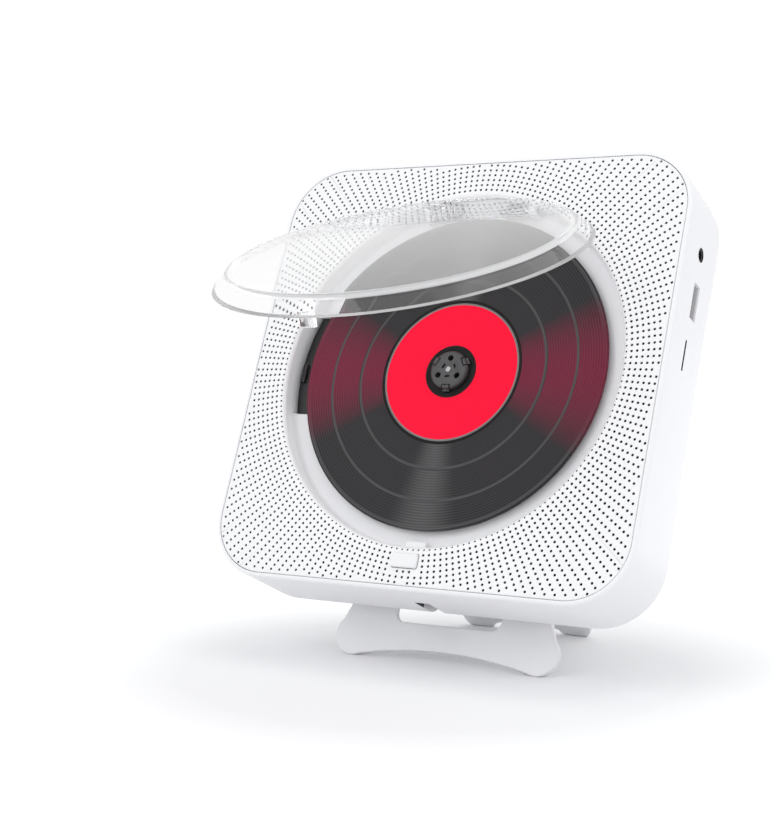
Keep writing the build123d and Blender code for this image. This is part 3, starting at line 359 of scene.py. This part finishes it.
def moulded_grain():
    """A node group: the faint haze and ripple of a moulded surface, as a shade and a height."""
    group = bpy.data.node_groups.new("moulded_grain", "ShaderNodeTree")
    for socket, value in (("Fineness", 900.0), ("Haze", 0.05)):
        new = group.interface.new_socket(socket, in_out="INPUT", socket_type="NodeSocketFloat")
        new.default_value = value
    group.interface.new_socket("Shade", in_out="OUTPUT", socket_type="NodeSocketFloat")
    group.interface.new_socket("Height", in_out="OUTPUT", socket_type="NodeSocketFloat")
    enter = group.nodes.new("NodeGroupInput")
    leave = group.nodes.new("NodeGroupOutput")
    spot = group.nodes.new("ShaderNodeTexCoord")
    grain = group.nodes.new("ShaderNodeTexNoise")
    grain.inputs["Detail"].default_value = 3
    group.links.new(spot.outputs["Object"], grain.inputs["Vector"])
    group.links.new(enter.outputs["Fineness"], grain.inputs["Scale"])
    cloud = group.nodes.new("ShaderNodeTexNoise")
    cloud.inputs["Scale"].default_value = 22
    cloud.inputs["Detail"].default_value = 2
    group.links.new(spot.outputs["Object"], cloud.inputs["Vector"])
    shade = group.nodes.new("ShaderNodeMath")
    shade.operation = "MULTIPLY_ADD"
    shade.inputs[2].default_value = 1.0
    lift = group.nodes.new("ShaderNodeMath")
    lift.operation = "SUBTRACT"
    lift.inputs[1].default_value = 0.5
    group.links.new(cloud.outputs["Fac"], lift.inputs[0])
    group.links.new(lift.outputs[0], shade.inputs[0])
    group.links.new(enter.outputs["Haze"], shade.inputs[1])
    group.links.new(shade.outputs[0], leave.inputs["Shade"])
    group.links.new(grain.outputs["Fac"], leave.inputs["Height"])
    return group


grain_group = moulded_grain()


def plastic(name, colour, roughness, bump=0.04, fineness=900.0, haze=0.05):
    """Moulded plastic: an even colour with a faint haze and a fine grain in its gloss."""
    paint = bpy.data.materials.new(name)
    paint.use_nodes = True
    tree = paint.node_tree
    shader = tree.nodes["Principled BSDF"]
    shader.inputs["Roughness"].default_value = roughness
    grain = tree.nodes.new("ShaderNodeGroup")
    grain.node_tree = grain_group
    grain.inputs["Fineness"].default_value = fineness
    grain.inputs["Haze"].default_value = haze
    tint = tree.nodes.new("ShaderNodeVectorMath")
    tint.operation = "SCALE"
    tint.inputs[0].default_value = colour
    tree.links.new(grain.outputs["Shade"], tint.inputs["Scale"])
    tree.links.new(tint.outputs[0], shader.inputs["Base Color"])
    rise = tree.nodes.new("ShaderNodeBump")
    rise.inputs["Strength"].default_value = bump
    rise.inputs["Distance"].default_value = 0.0002
    tree.links.new(grain.outputs["Height"], rise.inputs["Height"])
    tree.links.new(rise.outputs[0], shader.inputs["Normal"])
    return paint


housing_white = plastic("housing_white", (0.90, 0.90, 0.915), 0.38)
# painted shade: a near-black finish for the insides of holes, pockets and slits in the white mouldings, which are
# white plastic lying in shade
bore_painted_shade = plastic("bore_painted_shade", (0.05, 0.05, 0.052), 0.7)
housing.data.materials.append(housing_white)
housing.data.materials.append(bore_painted_shade)
# the plug pocket's walls, the jack hole's wall and the card slit's walls take the painted shade
for face in housing.data.polygons:
    x, y, z = face.center / mm
    reach = max(abs(housing.data.vertices[i].co.x) for i in face.vertices) / mm
    in_plug_pocket = reach < 3.2 and z < -17.4 and -82.9 < y < -72 and (z > -24.6 or y > -80.4)
    in_jack_hole = x > 79.5 and hypot(y - 49.0, z + 15.4) < 2.7 and abs(face.normal.x) < 0.5
    in_card_slit = x > 79.5 and 5.4 < y < 16.8 and -15.3 < z < -13.9 and abs(face.normal.x) < 0.5
    if in_plug_pocket or in_jack_hole or in_card_slit:
        face.material_index = 1
stand_up(housing)
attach(housing, "housing")
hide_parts("rear_shell")

# ---------------------------------------------------------------- Front panel
# A thinner white moulding in the housing's rim, with a rolled lip round the well and rings of small
# round holes on two hundred spokes, each one open right through.
panel_half, panel_corner, panel_thick = 81.2 * mm, 21.5 * mm, 2.2 * mm
well_radius, lip_round, lip_wall = 67.0 * mm, 2.3 * mm, 2.6 * mm


def arc_points(centre, radius, start, end, steps):
    """Points on an arc in a profile, from one angle to another in degrees."""
    turns = [radians(start + (end - start) * i / steps) for i in range(steps + 1)]
    return [(centre[0] + radius * cos(turn), centre[1] + radius * sin(turn)) for turn in turns]


def turned(name, profile, sides):
    """A lathe-turned form: a circle drawn out ring by ring along a profile of (radius, height)."""
    closed = profile[0] == profile[-1]
    at_axis = profile[0][0] < 1e-9
    start = profile[1] if at_axis else profile[0]
    bpy.ops.mesh.primitive_circle_add(vertices=sides, radius=start[0], location=(0, 0, start[1]),
                                      fill_type="NGON" if at_axis else "NOTHING")
    form = bpy.context.object
    form.name = name
    bpy.ops.object.transform_apply(location=True, rotation=True, scale=True)
    edit(form, "EDGE")
    bpy.ops.mesh.select_all(action="SELECT")
    last = start
    for radius, height in profile[2 if at_axis else 1:]:
        if radius < 1e-9:
            bpy.ops.mesh.edge_face_add()
            break
        bpy.ops.mesh.extrude_edges_move(TRANSFORM_OT_translate={"value": (0, 0, height - last[1])})
        bpy.ops.transform.resize(value=(radius / last[0], radius / last[0], 1))
        last = (radius, height)
    bpy.ops.mesh.select_all(action="SELECT")
    if closed:
        bpy.ops.mesh.remove_doubles(threshold=1e-7)
    bpy.ops.mesh.normals_make_consistent(inside=False)
    bpy.ops.object.mode_set(mode="OBJECT")
    return form


lip = arc_points((well_radius + lip_round, -lip_round), lip_round, 180, 90, 8)
outer = 118 * mm
ring = lip + [(outer, 0), (outer, -panel_thick), (well_radius + lip_wall, -panel_thick),
              (well_radius + lip_wall, -8 * mm), (well_radius, -8 * mm), lip[0]]
panel = turned("panel", ring, 240)
blank = square_block("blank", panel_half, panel_corner, -9 * mm, 1 * mm, 20)
carve(panel, [blank], "INTERSECT")
edit(panel, "EDGE")
pick_edges(panel, lambda a, b: a.z > -0.01 * mm and b.z > -0.01 * mm and hypot(a.x, a.y) > 75 * mm
           and hypot(b.x, b.y) > 75 * mm)
bpy.ops.mesh.bevel(offset=0.35 * mm, segments=3, affect="EDGES")
bpy.ops.object.mode_set(mode="OBJECT")
button_hole = tool_block((0, -72.4 * mm, 0), (10.4 * mm, 5.6 * mm, 8 * mm), 0.8 * mm)
catch_slot = tool_block((0, -68.3 * mm, -6.1 * mm), (8.3 * mm, 5.0 * mm, 2.8 * mm))
hinge_gap = tool_block((0, 66.7 * mm, -6.0 * mm), (47.0 * mm, 9.0 * mm, 8.4 * mm))
carve(panel, [button_hole, catch_slot, hinge_gap])

hole_radius = 0.52 * mm
spokes, ring_step, inner_ring, edge_margin = 200, 2.0 * mm, 70.3 * mm, 80.3 * mm


def inside_square(x, y, half, corner):
    """True where a point lies inside a rounded square."""
    over = hypot(max(abs(x) - half + corner, 0), max(abs(y) - half + corner, 0))
    return over < corner and abs(x) < half and abs(y) < half


hole_spots = []
radius = inner_ring
while radius < 108 * mm:
    for spoke in range(spokes):
        angle = 2 * pi * spoke / spokes
        x, y = radius * cos(angle), radius * sin(angle)
        under_button = abs(x) < 6.2 * mm and -76.2 * mm < y < -68.8 * mm
        if inside_square(x, y, edge_margin, panel_corner - 1.6 * mm) and not under_button:
            hole_spots.append((x, y))
    radius += ring_step

bore_shade = -0.45 * mm                   # below this the bores lie in their own shade


def drill_all(spots, radius, sides, low, high):
    """One drill, split at the shade line, copied to every spot as a single tool."""
    bpy.ops.mesh.primitive_cylinder_add(vertices=sides, radius=radius, depth=high - low,
                                        location=(0, 0, (low + high) / 2))
    drill = bpy.context.object
    bpy.ops.object.transform_apply(location=True, rotation=True, scale=True)
    edit(drill, "FACE")
    bpy.ops.mesh.select_all(action="SELECT")
    bpy.ops.mesh.bisect(plane_co=(0, 0, bore_shade), plane_no=(0, 0, 1))
    bpy.ops.object.mode_set(mode="OBJECT")
    drill_points = [vertex.co.copy() for vertex in drill.data.vertices]
    drill_faces = [tuple(face.vertices) for face in drill.data.polygons]
    bpy.data.objects.remove(drill)
    points, faces = [], []
    for x, y in spots:
        base = len(points)
        points += [(point.x + x, point.y + y, point.z) for point in drill_points]
        faces += [tuple(base + i for i in face) for face in drill_faces]
    drills_mesh = bpy.data.meshes.new("drills")
    drills_mesh.from_pydata(points, [], faces)
    drills = bpy.data.objects.new("drills", drills_mesh)
    bpy.context.collection.objects.link(drills)
    return drills


dimple_ring, dimple_radius = 68.4 * mm, 0.38 * mm
dimples = [(dimple_ring * cos(2 * pi * spoke / spokes), dimple_ring * sin(2 * pi * spoke / spokes))
           for spoke in range(spokes) if abs(spoke - spokes / 4) > 11]
carve(panel, [drill_all(hole_spots, hole_radius, 10, -4 * mm, 2 * mm),
              drill_all(dimples, dimple_radius, 8, -0.75 * mm, 2 * mm)])
smooth(panel, 30)
panel_white = plastic("panel_white", (0.90, 0.90, 0.905), 0.42)
panel.data.materials.append(panel_white)
panel.data.materials.append(bore_painted_shade)
lip_outside, perforated_half = 69.7 * mm, 80.6 * mm
for face in panel.data.polygons:
    distance = hypot(face.center.x, face.center.y)
    low_down = face.center.z < bore_shade and distance > lip_outside
    in_bore = abs(face.normal.z) < 0.3 and inside_square(face.center.x, face.center.y,
                                                         perforated_half, panel_corner)
    underneath = face.normal.z < -0.9
    in_dimple = (-0.8 * mm < face.center.z < -0.5 * mm
                 and abs(distance - dimple_ring) < dimple_radius)
    if low_down and (in_bore or underneath) or in_dimple:
        face.material_index = 1
stand_up(panel)
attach(panel, "housing")
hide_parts("front_panel")

# ---------------------------------------------------------------- Well floor
# The white bowl under the disc, moulded with a window for the pickup and two lugs for the lid.
well_white = plastic("well_white", (0.85, 0.85, 0.865), 0.45)
floor_top, floor_low, cove = -8.0 * mm, -10.0 * mm, 1.5 * mm
wall_inside = well_radius - 0.02 * mm
bowl = ([(0, floor_top)] + arc_points((wall_inside - cove, floor_top + cove), cove, -90, 0, 6)
        + [(wall_inside, floor_top), (72 * mm, floor_top), (72 * mm, floor_low), (0, floor_low)])
well = turned("well", bowl, 240)
ear_spots = [(x, y) for x in (-74, 74) for y in (-24, 24)]
ears = [tool_rod((x * mm, y * mm, -9 * mm), 3.4 * mm, 2 * mm) for x, y in ear_spots]
ears += [tool_block((x * mm, y * mm, -9 * mm), (8 * mm, 6.8 * mm, 2 * mm))
         for x in (-70.5, 70.5) for y in (-24, 24)]
post_spots = [(-50, -24), (20, -24), (-50, 30), (20, 30)]
posts = [tool_rod((x * mm, y * mm, -12.65 * mm), 2.0 * mm, 6.3 * mm) for x, y in post_spots]
hinge_height, hinge_depth = 62.2 * mm, -4.5 * mm
lug_place, lug_width = 21.8 * mm, 2.8 * mm
lugs = []
for side in (-1, 1):
    lugs.append(tool_block((side * lug_place, hinge_height, -6.4 * mm),
                           (lug_width, 5.0 * mm, 3.8 * mm)))
    lugs.append(tool_rod((side * lug_place, hinge_height, hinge_depth), 2.5 * mm, lug_width, "X"))
carve(well, ears + posts + lugs, "UNION")
window = tool_rod((0, 0, -8 * mm), well_radius - 0.01 * mm, 8 * mm, "Z", 240)
carve(window, [tool_block((-27 * mm, 2.8 * mm, -8 * mm), (106 * mm, 40 * mm, 9 * mm))], "INTERSECT")
well_cuts = [window, tool_block((0, -72.5 * mm, -9 * mm), (6 * mm, 5 * mm, 4 * mm))]
well_cuts += [tool_rod((x * mm, y * mm, -9 * mm), 1.35 * mm, 5 * mm) for x, y in ear_spots]
well_cuts += [tool_rod((x * mm, y * mm, -14 * mm), 1.0 * mm, 6 * mm) for x, y in post_spots]
well_cuts += [tool_rod((side * lug_place, hinge_height, hinge_depth), 1.0 * mm, 4 * mm, "X")
              for side in (-1, 1)]
carve(well, well_cuts)
smooth(well)
stand_up(well)
well.data.materials.append(well_white)
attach(well, "housing")
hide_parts("disc_well")

# ---------------------------------------------------------------- Finishes of the inner pieces
# What shows through the window and the holes: black moulding, steel, rubber and green board.
plain_finishes = {
    "white_button": plastic("key_white", (0.86, 0.86, 0.87), 0.36),
    "black_plastic": plastic("black_moulding", (0.018, 0.018, 0.02), 0.45),
    "hub_grey": plastic("hub_moulding", (0.03, 0.03, 0.032), 0.35),
    "gear_white": plastic("gear_moulding", (0.7, 0.68, 0.62), 0.4),
    "rubber_black": plastic("rubber", (0.02, 0.02, 0.02), 0.8, 0.2),
    "cone_black": plastic("cone_paper", (0.025, 0.025, 0.025), 0.7, 0.3, 2500.0),
    "board_green": plastic("solder_mask", (0.02, 0.12, 0.05), 0.35),
    "chip_black": plastic("chip_moulding", (0.02, 0.02, 0.022), 0.55),
}


def metal(name, colour, roughness):
    """Bare metal with a fine brushed grain."""
    paint = plastic(name, colour, roughness, 0.05, 2600.0, 0.12)
    paint.node_tree.nodes["Principled BSDF"].inputs["Metallic"].default_value = 1
    return paint


plain_finishes["steel"] = metal("zinc_steel", (0.62, 0.62, 0.63), 0.35)
plain_finishes["shaft_steel"] = metal("ground_steel", (0.30, 0.30, 0.31), 0.38)
plain_finishes["motor_can"] = metal("drawn_steel", (0.55, 0.55, 0.56), 0.4)
plain_finishes["spring_steel"] = metal("spring_wire", (0.5, 0.5, 0.51), 0.3)
plain_finishes["well_floor"] = well_white
plain_finishes["white_shell"] = housing_white
plain_finishes["white_panel"] = panel_white

# ---------------------------------------------------------------- Lid
# A clear dish pressed from acrylic sheet. It is modelled shut and swung open about its hinge line.
hinge_spot = Vector(joints["lid_hinge"]["pos_m"])
lid_open = radians(joints["lid_hinge"]["range_deg"][1])
swing = (Matrix.Translation(hinge_spot) @ Matrix.Rotation(-lid_open, 4, "X")
         @ Matrix.Translation(-hinge_spot))
lid_wall = 1.5 * mm
plate_radius, rim_radius, plate_top, rim_low = 60.2 * mm, 65.66 * mm, 3.0 * mm, -2.6 * mm
dish = ([(0, plate_top), (plate_radius - 2.0 * mm, plate_top)]
        + [(plate_radius - 0.9 * mm, plate_top - 0.12 * mm), (plate_radius, plate_top - 0.55 * mm),
           (plate_radius + 0.75 * mm, plate_top - 1.2 * mm)]
        + [(rim_radius, rim_low), (rim_radius - 2.1 * mm, rim_low),
           (plate_radius - 0.55 * mm, plate_top - 2.2 * mm),
           (plate_radius - 1.2 * mm, plate_top - 1.62 * mm),
           (plate_radius - 2.2 * mm, plate_top - lid_wall), (0, plate_top - lid_wall)])
lid = turned("lid_dish", dish, 256)
chord_cut = tool_block((0, (57.8 + 10) * mm, 0), (90 * mm, 20 * mm, 20 * mm))
carve(lid, [chord_cut])
tongue = tool_block((0, -62.7 * mm, -4.1 * mm), (6.0 * mm, 1.4 * mm, 4.6 * mm), 0.3 * mm)
arms, pin_holes = [], []
for side in (-1, 1):
    near, far_side = side * 14.5 * mm, side * 20.1 * mm
    knuckle = ((near + far_side) / 2, hinge_height, hinge_depth)
    arms.append(strip([(61.3 * mm, -2.4 * mm), (55.8 * mm, 1.6 * mm),
                       (54.8 * mm, 0.0), (60.1 * mm, -5.4 * mm)], near, far_side))
    arms.append(tool_rod(knuckle, 2.3 * mm, 5.6 * mm, "X"))
    pin_holes.append(tool_rod(knuckle, 1.06 * mm, 8 * mm, "X"))
carve(lid, arms + [tongue], "UNION")
carve(lid, pin_holes)
smooth(lid, 30)


def acrylic(name, clearness, tint):
    """Clear acrylic with faint wiping marks; the light that falls on the disc passes through it."""
    paint = bpy.data.materials.new(name)
    paint.use_nodes = True
    tree = paint.node_tree
    shader = tree.nodes["Principled BSDF"]
    shader.inputs["Base Color"].default_value = (tint, tint, tint, 1)
    shader.inputs["IOR"].default_value = 1.49
    shader.inputs["Transmission Weight"].default_value = clearness
    path = tree.nodes.new("ShaderNodeLightPath")
    indirect = tree.nodes.new("ShaderNodeMath")
    indirect.operation = "MAXIMUM"
    tree.links.new(path.outputs["Is Shadow Ray"], indirect.inputs[0])
    tree.links.new(path.outputs["Is Diffuse Ray"], indirect.inputs[1])
    solid = tree.nodes.new("ShaderNodeMath")
    solid.operation = "MULTIPLY_ADD"
    solid.inputs[1].default_value = -0.85
    solid.inputs[2].default_value = 1.0
    tree.links.new(indirect.outputs[0], solid.inputs[0])
    tree.links.new(solid.outputs[0], shader.inputs["Alpha"])
    wiped = tree.nodes.new("ShaderNodeTexCoord")
    smears = tree.nodes.new("ShaderNodeTexNoise")
    smears.inputs["Scale"].default_value = 60
    tree.links.new(wiped.outputs["Object"], smears.inputs["Vector"])
    haze = tree.nodes.new("ShaderNodeMath")
    haze.operation = "MULTIPLY"
    haze.inputs[1].default_value = 0.03
    tree.links.new(smears.outputs["Fac"], haze.inputs[0])
    tree.links.new(haze.outputs[0], shader.inputs["Roughness"])
    return paint


clear = acrylic("clear_acrylic", 0.965, 0.98)
lid.data.materials.append(clear)
lid.data.materials.append(acrylic("clear_rim", 1.0, 0.98))
# painted highlight: a whiter, less clear copy of the acrylic for the rounding, the rim's end and the cut chord
lid.data.materials.append(acrylic("edge_painted_highlight", 0.6, 0.96))
# the rounding, the rim's end and the chord take the painted highlight; the rest of the rim takes the clearer copy
for face in lid.data.polygons:
    distance, height = hypot(face.center.x, face.center.y), face.center.z
    on_rounding = (plate_radius - 2.1 * mm < distance < plate_radius + 0.8 * mm
                   and height > plate_top - 2.3 * mm)
    on_rim_end = height < rim_low + 0.1 * mm and distance > rim_radius - 2.2 * mm
    on_chord = face.normal.y > 0.9 and face.center.y > 57 * mm
    if on_rounding or on_rim_end or on_chord:
        face.material_index = 2
    elif distance > plate_radius - 2.1 * mm:
        face.material_index = 1
stand_up(lid, swing @ face_matrix)
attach(lid, "lid")
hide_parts("lid")
plain_finishes["clear_lid"] = clear
plain_finishes["lens_glass"] = clear

# ---------------------------------------------------------------- Disc
# A pressed disc with a printed face: red middle, fine dark tracks and a few wider gaps between. Painted sheen fans
# lie over the tracks.
disc_radius, disc_hole, disc_top, disc_low = 60 * mm, 7.5 * mm, -5.0 * mm, -6.2 * mm
edge = 0.15 * mm
disc_profile = [(disc_hole, disc_low + edge), (disc_hole, disc_top - edge),
                (disc_hole + edge, disc_top), (disc_radius - edge, disc_top),
                (disc_radius, disc_top - edge), (disc_radius, disc_low + edge),
                (disc_radius - edge, disc_low), (disc_hole + edge, disc_low),
                (disc_hole, disc_low + edge)]
disc = turned("disc_print_and_sheen", disc_profile, 256)
smooth(disc, 30)
stand_up(disc)
print_and_sheen_paint = bpy.data.materials.new("disc_print_and_sheen")
print_and_sheen_paint.use_nodes = True
tree = print_and_sheen_paint.node_tree
shader = tree.nodes["Principled BSDF"]
spot = tree.nodes.new("ShaderNodeTexCoord")
flat = tree.nodes.new("ShaderNodeMapping")
flat.vector_type = "TEXTURE"
flat.inputs["Location"].default_value = face_centre
flat.inputs["Rotation"].default_value = face_matrix.to_euler()
tree.links.new(spot.outputs["Object"], flat.inputs["Vector"])
apart = tree.nodes.new("ShaderNodeSeparateXYZ")
tree.links.new(flat.outputs[0], apart.inputs[0])
joined = tree.nodes.new("ShaderNodeCombineXYZ")
tree.links.new(apart.outputs["X"], joined.inputs["X"])
tree.links.new(apart.outputs["Y"], joined.inputs["Y"])
far = tree.nodes.new("ShaderNodeVectorMath")
far.operation = "LENGTH"
tree.links.new(joined.outputs[0], far.inputs[0])
across = tree.nodes.new("ShaderNodeMath")
across.operation = "DIVIDE"
across.inputs[1].default_value = disc_radius
tree.links.new(far.outputs["Value"], across.inputs[0])


def number(tree, operation, *feeds):
    """A Math node fed by sockets or plain numbers."""
    sum_node = tree.nodes.new("ShaderNodeMath")
    sum_node.operation = operation
    for place, feed in enumerate(feeds):
        if isinstance(feed, (int, float)):
            sum_node.inputs[place].default_value = feed
        else:
            tree.links.new(feed, sum_node.inputs[place])
    return sum_node.outputs[0]


def by_radius(tree, distance, stops, smoothly=False):
    """A colour for each distance from the disc's axis, given as stops in millimetres."""
    bands = tree.nodes.new("ShaderNodeValToRGB")
    ramp = bands.color_ramp
    ramp.interpolation = "LINEAR" if smoothly else "CONSTANT"
    for place, (stop, colour) in enumerate(stops):
        element = ramp.elements[place] if place < 2 else ramp.elements.new(stop / 60)
        element.position = stop / 60
        element.color = colour
    tree.links.new(distance, bands.inputs["Fac"])
    return bands.outputs["Color"]


def over(tree, share, under, colour):
    """One colour laid over another by a share."""
    mix = tree.nodes.new("ShaderNodeMix")
    mix.data_type = "RGBA"
    tree.links.new(share, mix.inputs[0])
    tree.links.new(under, mix.inputs[6])
    mix.inputs[7].default_value = colour
    return mix.outputs[2]


dark, red, black = (0.030, 0.028, 0.030, 1), (1.0, 0.0, 0.036, 1), (0.006, 0.006, 0.006, 1)
ring_grey, outline_grey = (0.072, 0.070, 0.072, 1), (0.20, 0.19, 0.19, 1)
printed = by_radius(tree, across.outputs[0], [
    (0, black), (10.07, red), (26.0, outline_grey), (26.6, black), (27.8, dark), (36.5, ring_grey),
    (37.5, dark), (48.5, ring_grey), (49.3, dark), (58.3, ring_grey), (59.2, dark)])
is_track = by_radius(tree, across.outputs[0], [
    (0, (0, 0, 0, 1)), (27.8, (1, 1, 1, 1)), (36.4, (0, 0, 0, 1)), (37.6, (1, 1, 1, 1)),
    (48.4, (0, 0, 0, 1)), (49.4, (1, 1, 1, 1))])
reach = far.outputs["Value"]
sideways = number(tree, "DIVIDE", number(tree, "ABSOLUTE", apart.outputs["X"]), reach)
upright = number(tree, "DIVIDE", number(tree, "ABSOLUTE", apart.outputs["Y"]), reach)
# painted sheen over the tracks: dark-red fans at 3 and 9 o'clock and light-grey glint fans at 6 and 12 o'clock
# each fan fades out where the cosine of the angle from its middle falls to its edge
red_sheen_edge, grey_glint_edge = 0.866, 0.966
red_sheen_fan = number(tree, "MULTIPLY_ADD", sideways, 1 / (1 - red_sheen_edge), -red_sheen_edge / (1 - red_sheen_edge))
red_sheen_fan = number(tree, "MAXIMUM", red_sheen_fan, 0.0)
grey_glint_fan = number(tree, "MULTIPLY_ADD", upright, 1 / (1 - grey_glint_edge), -grey_glint_edge / (1 - grey_glint_edge))
grey_glint_fan = number(tree, "MAXIMUM", grey_glint_fan, 0.0)
print_with_sheen = over(tree, number(tree, "MULTIPLY", red_sheen_fan, is_track), printed, (0.165, 0.018, 0.042, 1))
narrow_glint_fan = number(tree, "MULTIPLY", grey_glint_fan, grey_glint_fan)
print_with_sheen = over(tree, number(tree, "MULTIPLY", narrow_glint_fan, is_track), print_with_sheen, (0.085, 0.083, 0.085, 1))
# one fine groove in each millimetre, deeper towards the rim
wave = number(tree, "SINE", number(tree, "MULTIPLY", across.outputs[0], 2 * pi * 60))
depth = number(tree, "MULTIPLY", number(tree, "MULTIPLY", wave, across.outputs[0]), is_track)
grooved = tree.nodes.new("ShaderNodeVectorMath")
grooved.operation = "SCALE"
tree.links.new(print_with_sheen, grooved.inputs[0])
tree.links.new(number(tree, "MULTIPLY_ADD", depth, 0.28, 1.0), grooved.inputs["Scale"])
tree.links.new(grooved.outputs[0], shader.inputs["Base Color"])
tree.links.new(number(tree, "MULTIPLY_ADD", depth, 0.05, 0.36), shader.inputs["Roughness"])
shader.inputs["Specular IOR Level"].default_value = 0.1
disc.data.materials.append(print_and_sheen_paint)
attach(disc, "disc_drive")
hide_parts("disc")
plain_finishes["disc_face"] = print_and_sheen_paint

# ---------------------------------------------------------------- Hub
# A grey moulded cap pressed on the spindle: it centres the disc, and three sprung pawls hold it.
cap_radius, cap_top, cap_low, shaft_hole = 7.35 * mm, -3.0 * mm, -6.2 * mm, 1.0 * mm
cap_round = 0.9 * mm
cap_profile = ([(shaft_hole, cap_top)]
               + arc_points((cap_radius - cap_round, cap_top - cap_round), cap_round, 90, 0, 5)
               + [(cap_radius, cap_low), (shaft_hole, cap_low), (shaft_hole, cap_top)])
hub = turned("hub", cap_profile, 96)


def at_angle(tool, degrees_round):
    """Turns a tool about the disc's axis and applies the turn."""
    bpy.ops.object.select_all(action="DESELECT")
    tool.select_set(True)
    bpy.context.view_layer.objects.active = tool
    tool.matrix_world = Matrix.Rotation(radians(degrees_round), 4, "Z") @ tool.matrix_world
    bpy.ops.object.transform_apply(location=True, rotation=True, scale=True)
    return tool


hub_cuts, pawls = [], []
for third in (90, 210, 330):
    hub_cuts.append(at_angle(tool_rod((4.4 * mm, 0, -4.6 * mm), 1.1 * mm, 6 * mm), third))
for third in (30, 150, 270):
    slit = tool_block((2.6 * mm, 0, -3.0 * mm), (0.8 * mm, 1.8 * mm, 2.4 * mm))
    hub_cuts.append(at_angle(slit, third))
    for side in (-1, 1):
        gap_middle = (6.9 * mm, side * 1.55 * mm, -4.0 * mm)
        hub_cuts.append(at_angle(tool_block(gap_middle, (2.6 * mm, 0.45 * mm, 3.4 * mm)), third))
    root = tool_block((5.75 * mm, 0.3 * mm, -4.0 * mm), (0.4 * mm, 3.0 * mm, 3.4 * mm))
    hub_cuts.append(at_angle(root, third))
    pawl = tool_block((7.2 * mm, 0, -4.45 * mm), (1.6 * mm, 2.5 * mm, 0.9 * mm), 0.2 * mm)
    pawls.append(at_angle(pawl, third))
carve(hub, hub_cuts)
carve(hub, pawls, "UNION")
smooth(hub)
stand_up(hub)
hub.data.materials.append(plain_finishes["hub_grey"])
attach(hub, "disc_drive")
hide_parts("hub_cap")

# ---------------------------------------------------------------- Button, catch, keys, sockets
# Small mouldings whose edges were rounded in the tool; the steel shell of the socket is folded.


def softened(name, body, width, segments=2):
    """A copy of a frame piece, its triangles merged and its edges rounded within its own box."""
    piece = bpy.data.objects.new(name + "_soft", nodes[name].data.copy())
    bpy.context.collection.objects.link(piece)
    piece.data.materials.clear()
    edit(piece)
    bpy.ops.mesh.select_all(action="SELECT")
    bpy.ops.mesh.remove_doubles(threshold=0.002 * mm)
    bpy.ops.mesh.dissolve_limited(angle_limit=radians(1))
    bpy.ops.object.mode_set(mode="OBJECT")
    rounding = piece.modifiers.new("rounding", "BEVEL")
    rounding.width = width
    rounding.segments = segments
    rounding.limit_method = "ANGLE"
    rounding.angle_limit = radians(32)
    rounding.use_clamp_overlap = False
    bpy.ops.object.modifier_apply(modifier=rounding.name)
    low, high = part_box(name)
    for vertex in piece.data.vertices:
        for axis in range(3):
            vertex.co[axis] = min(max(vertex.co[axis], low[axis]), high[axis])
    smooth(piece)
    even = piece.modifiers.new("even", "WEIGHTED_NORMAL")
    even.keep_sharp = True
    bpy.ops.object.modifier_apply(modifier=even.name)
    piece.data.materials.append(plain_finishes[slot_of[name]])
    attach(piece, body)
    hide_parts(name)
    return piece


slot_of = {part["node"]: part["material_slot"] for part in frame["record"]["subparts"]}
softened("open_button", "open_button", 0.14 * mm, 3)
softened("latch_catch", "catch", 0.15 * mm)
softened("mech_cover", "housing", 0.12 * mm)
softened("audio_jack", "housing", 0.12 * mm)
usb_shell = softened("usb_socket", "housing", 0.08 * mm)
usb_shell.data.materials[0] = plastic("nickel_shell", (0.75, 0.75, 0.76), 0.5, 0.05, 2600.0)
for word in ("power", "mode", "previous", "play", "next"):
    softened("key_" + word, "key_" + word, 0.2 * mm, 3)

# ---------------------------------------------------------------- Stand
# One white moulding bent like an upturned V, hooked into two keyholes in the housing's back. Its
# edges are rounded so that it is pleasant to hold.
stand_white = plastic("stand_white", (0.86, 0.86, 0.875), 0.4)
plain_finishes["stand_white"] = stand_white
softened("stand_bracket", "housing", 0.5 * mm, 3)

# ---------------------------------------------------------------- Finishes on the frame pieces
for name, node in nodes.items():
    finish = plain_finishes[slot_of[name]]
    for place in node.material_slots:
        place.material = finish
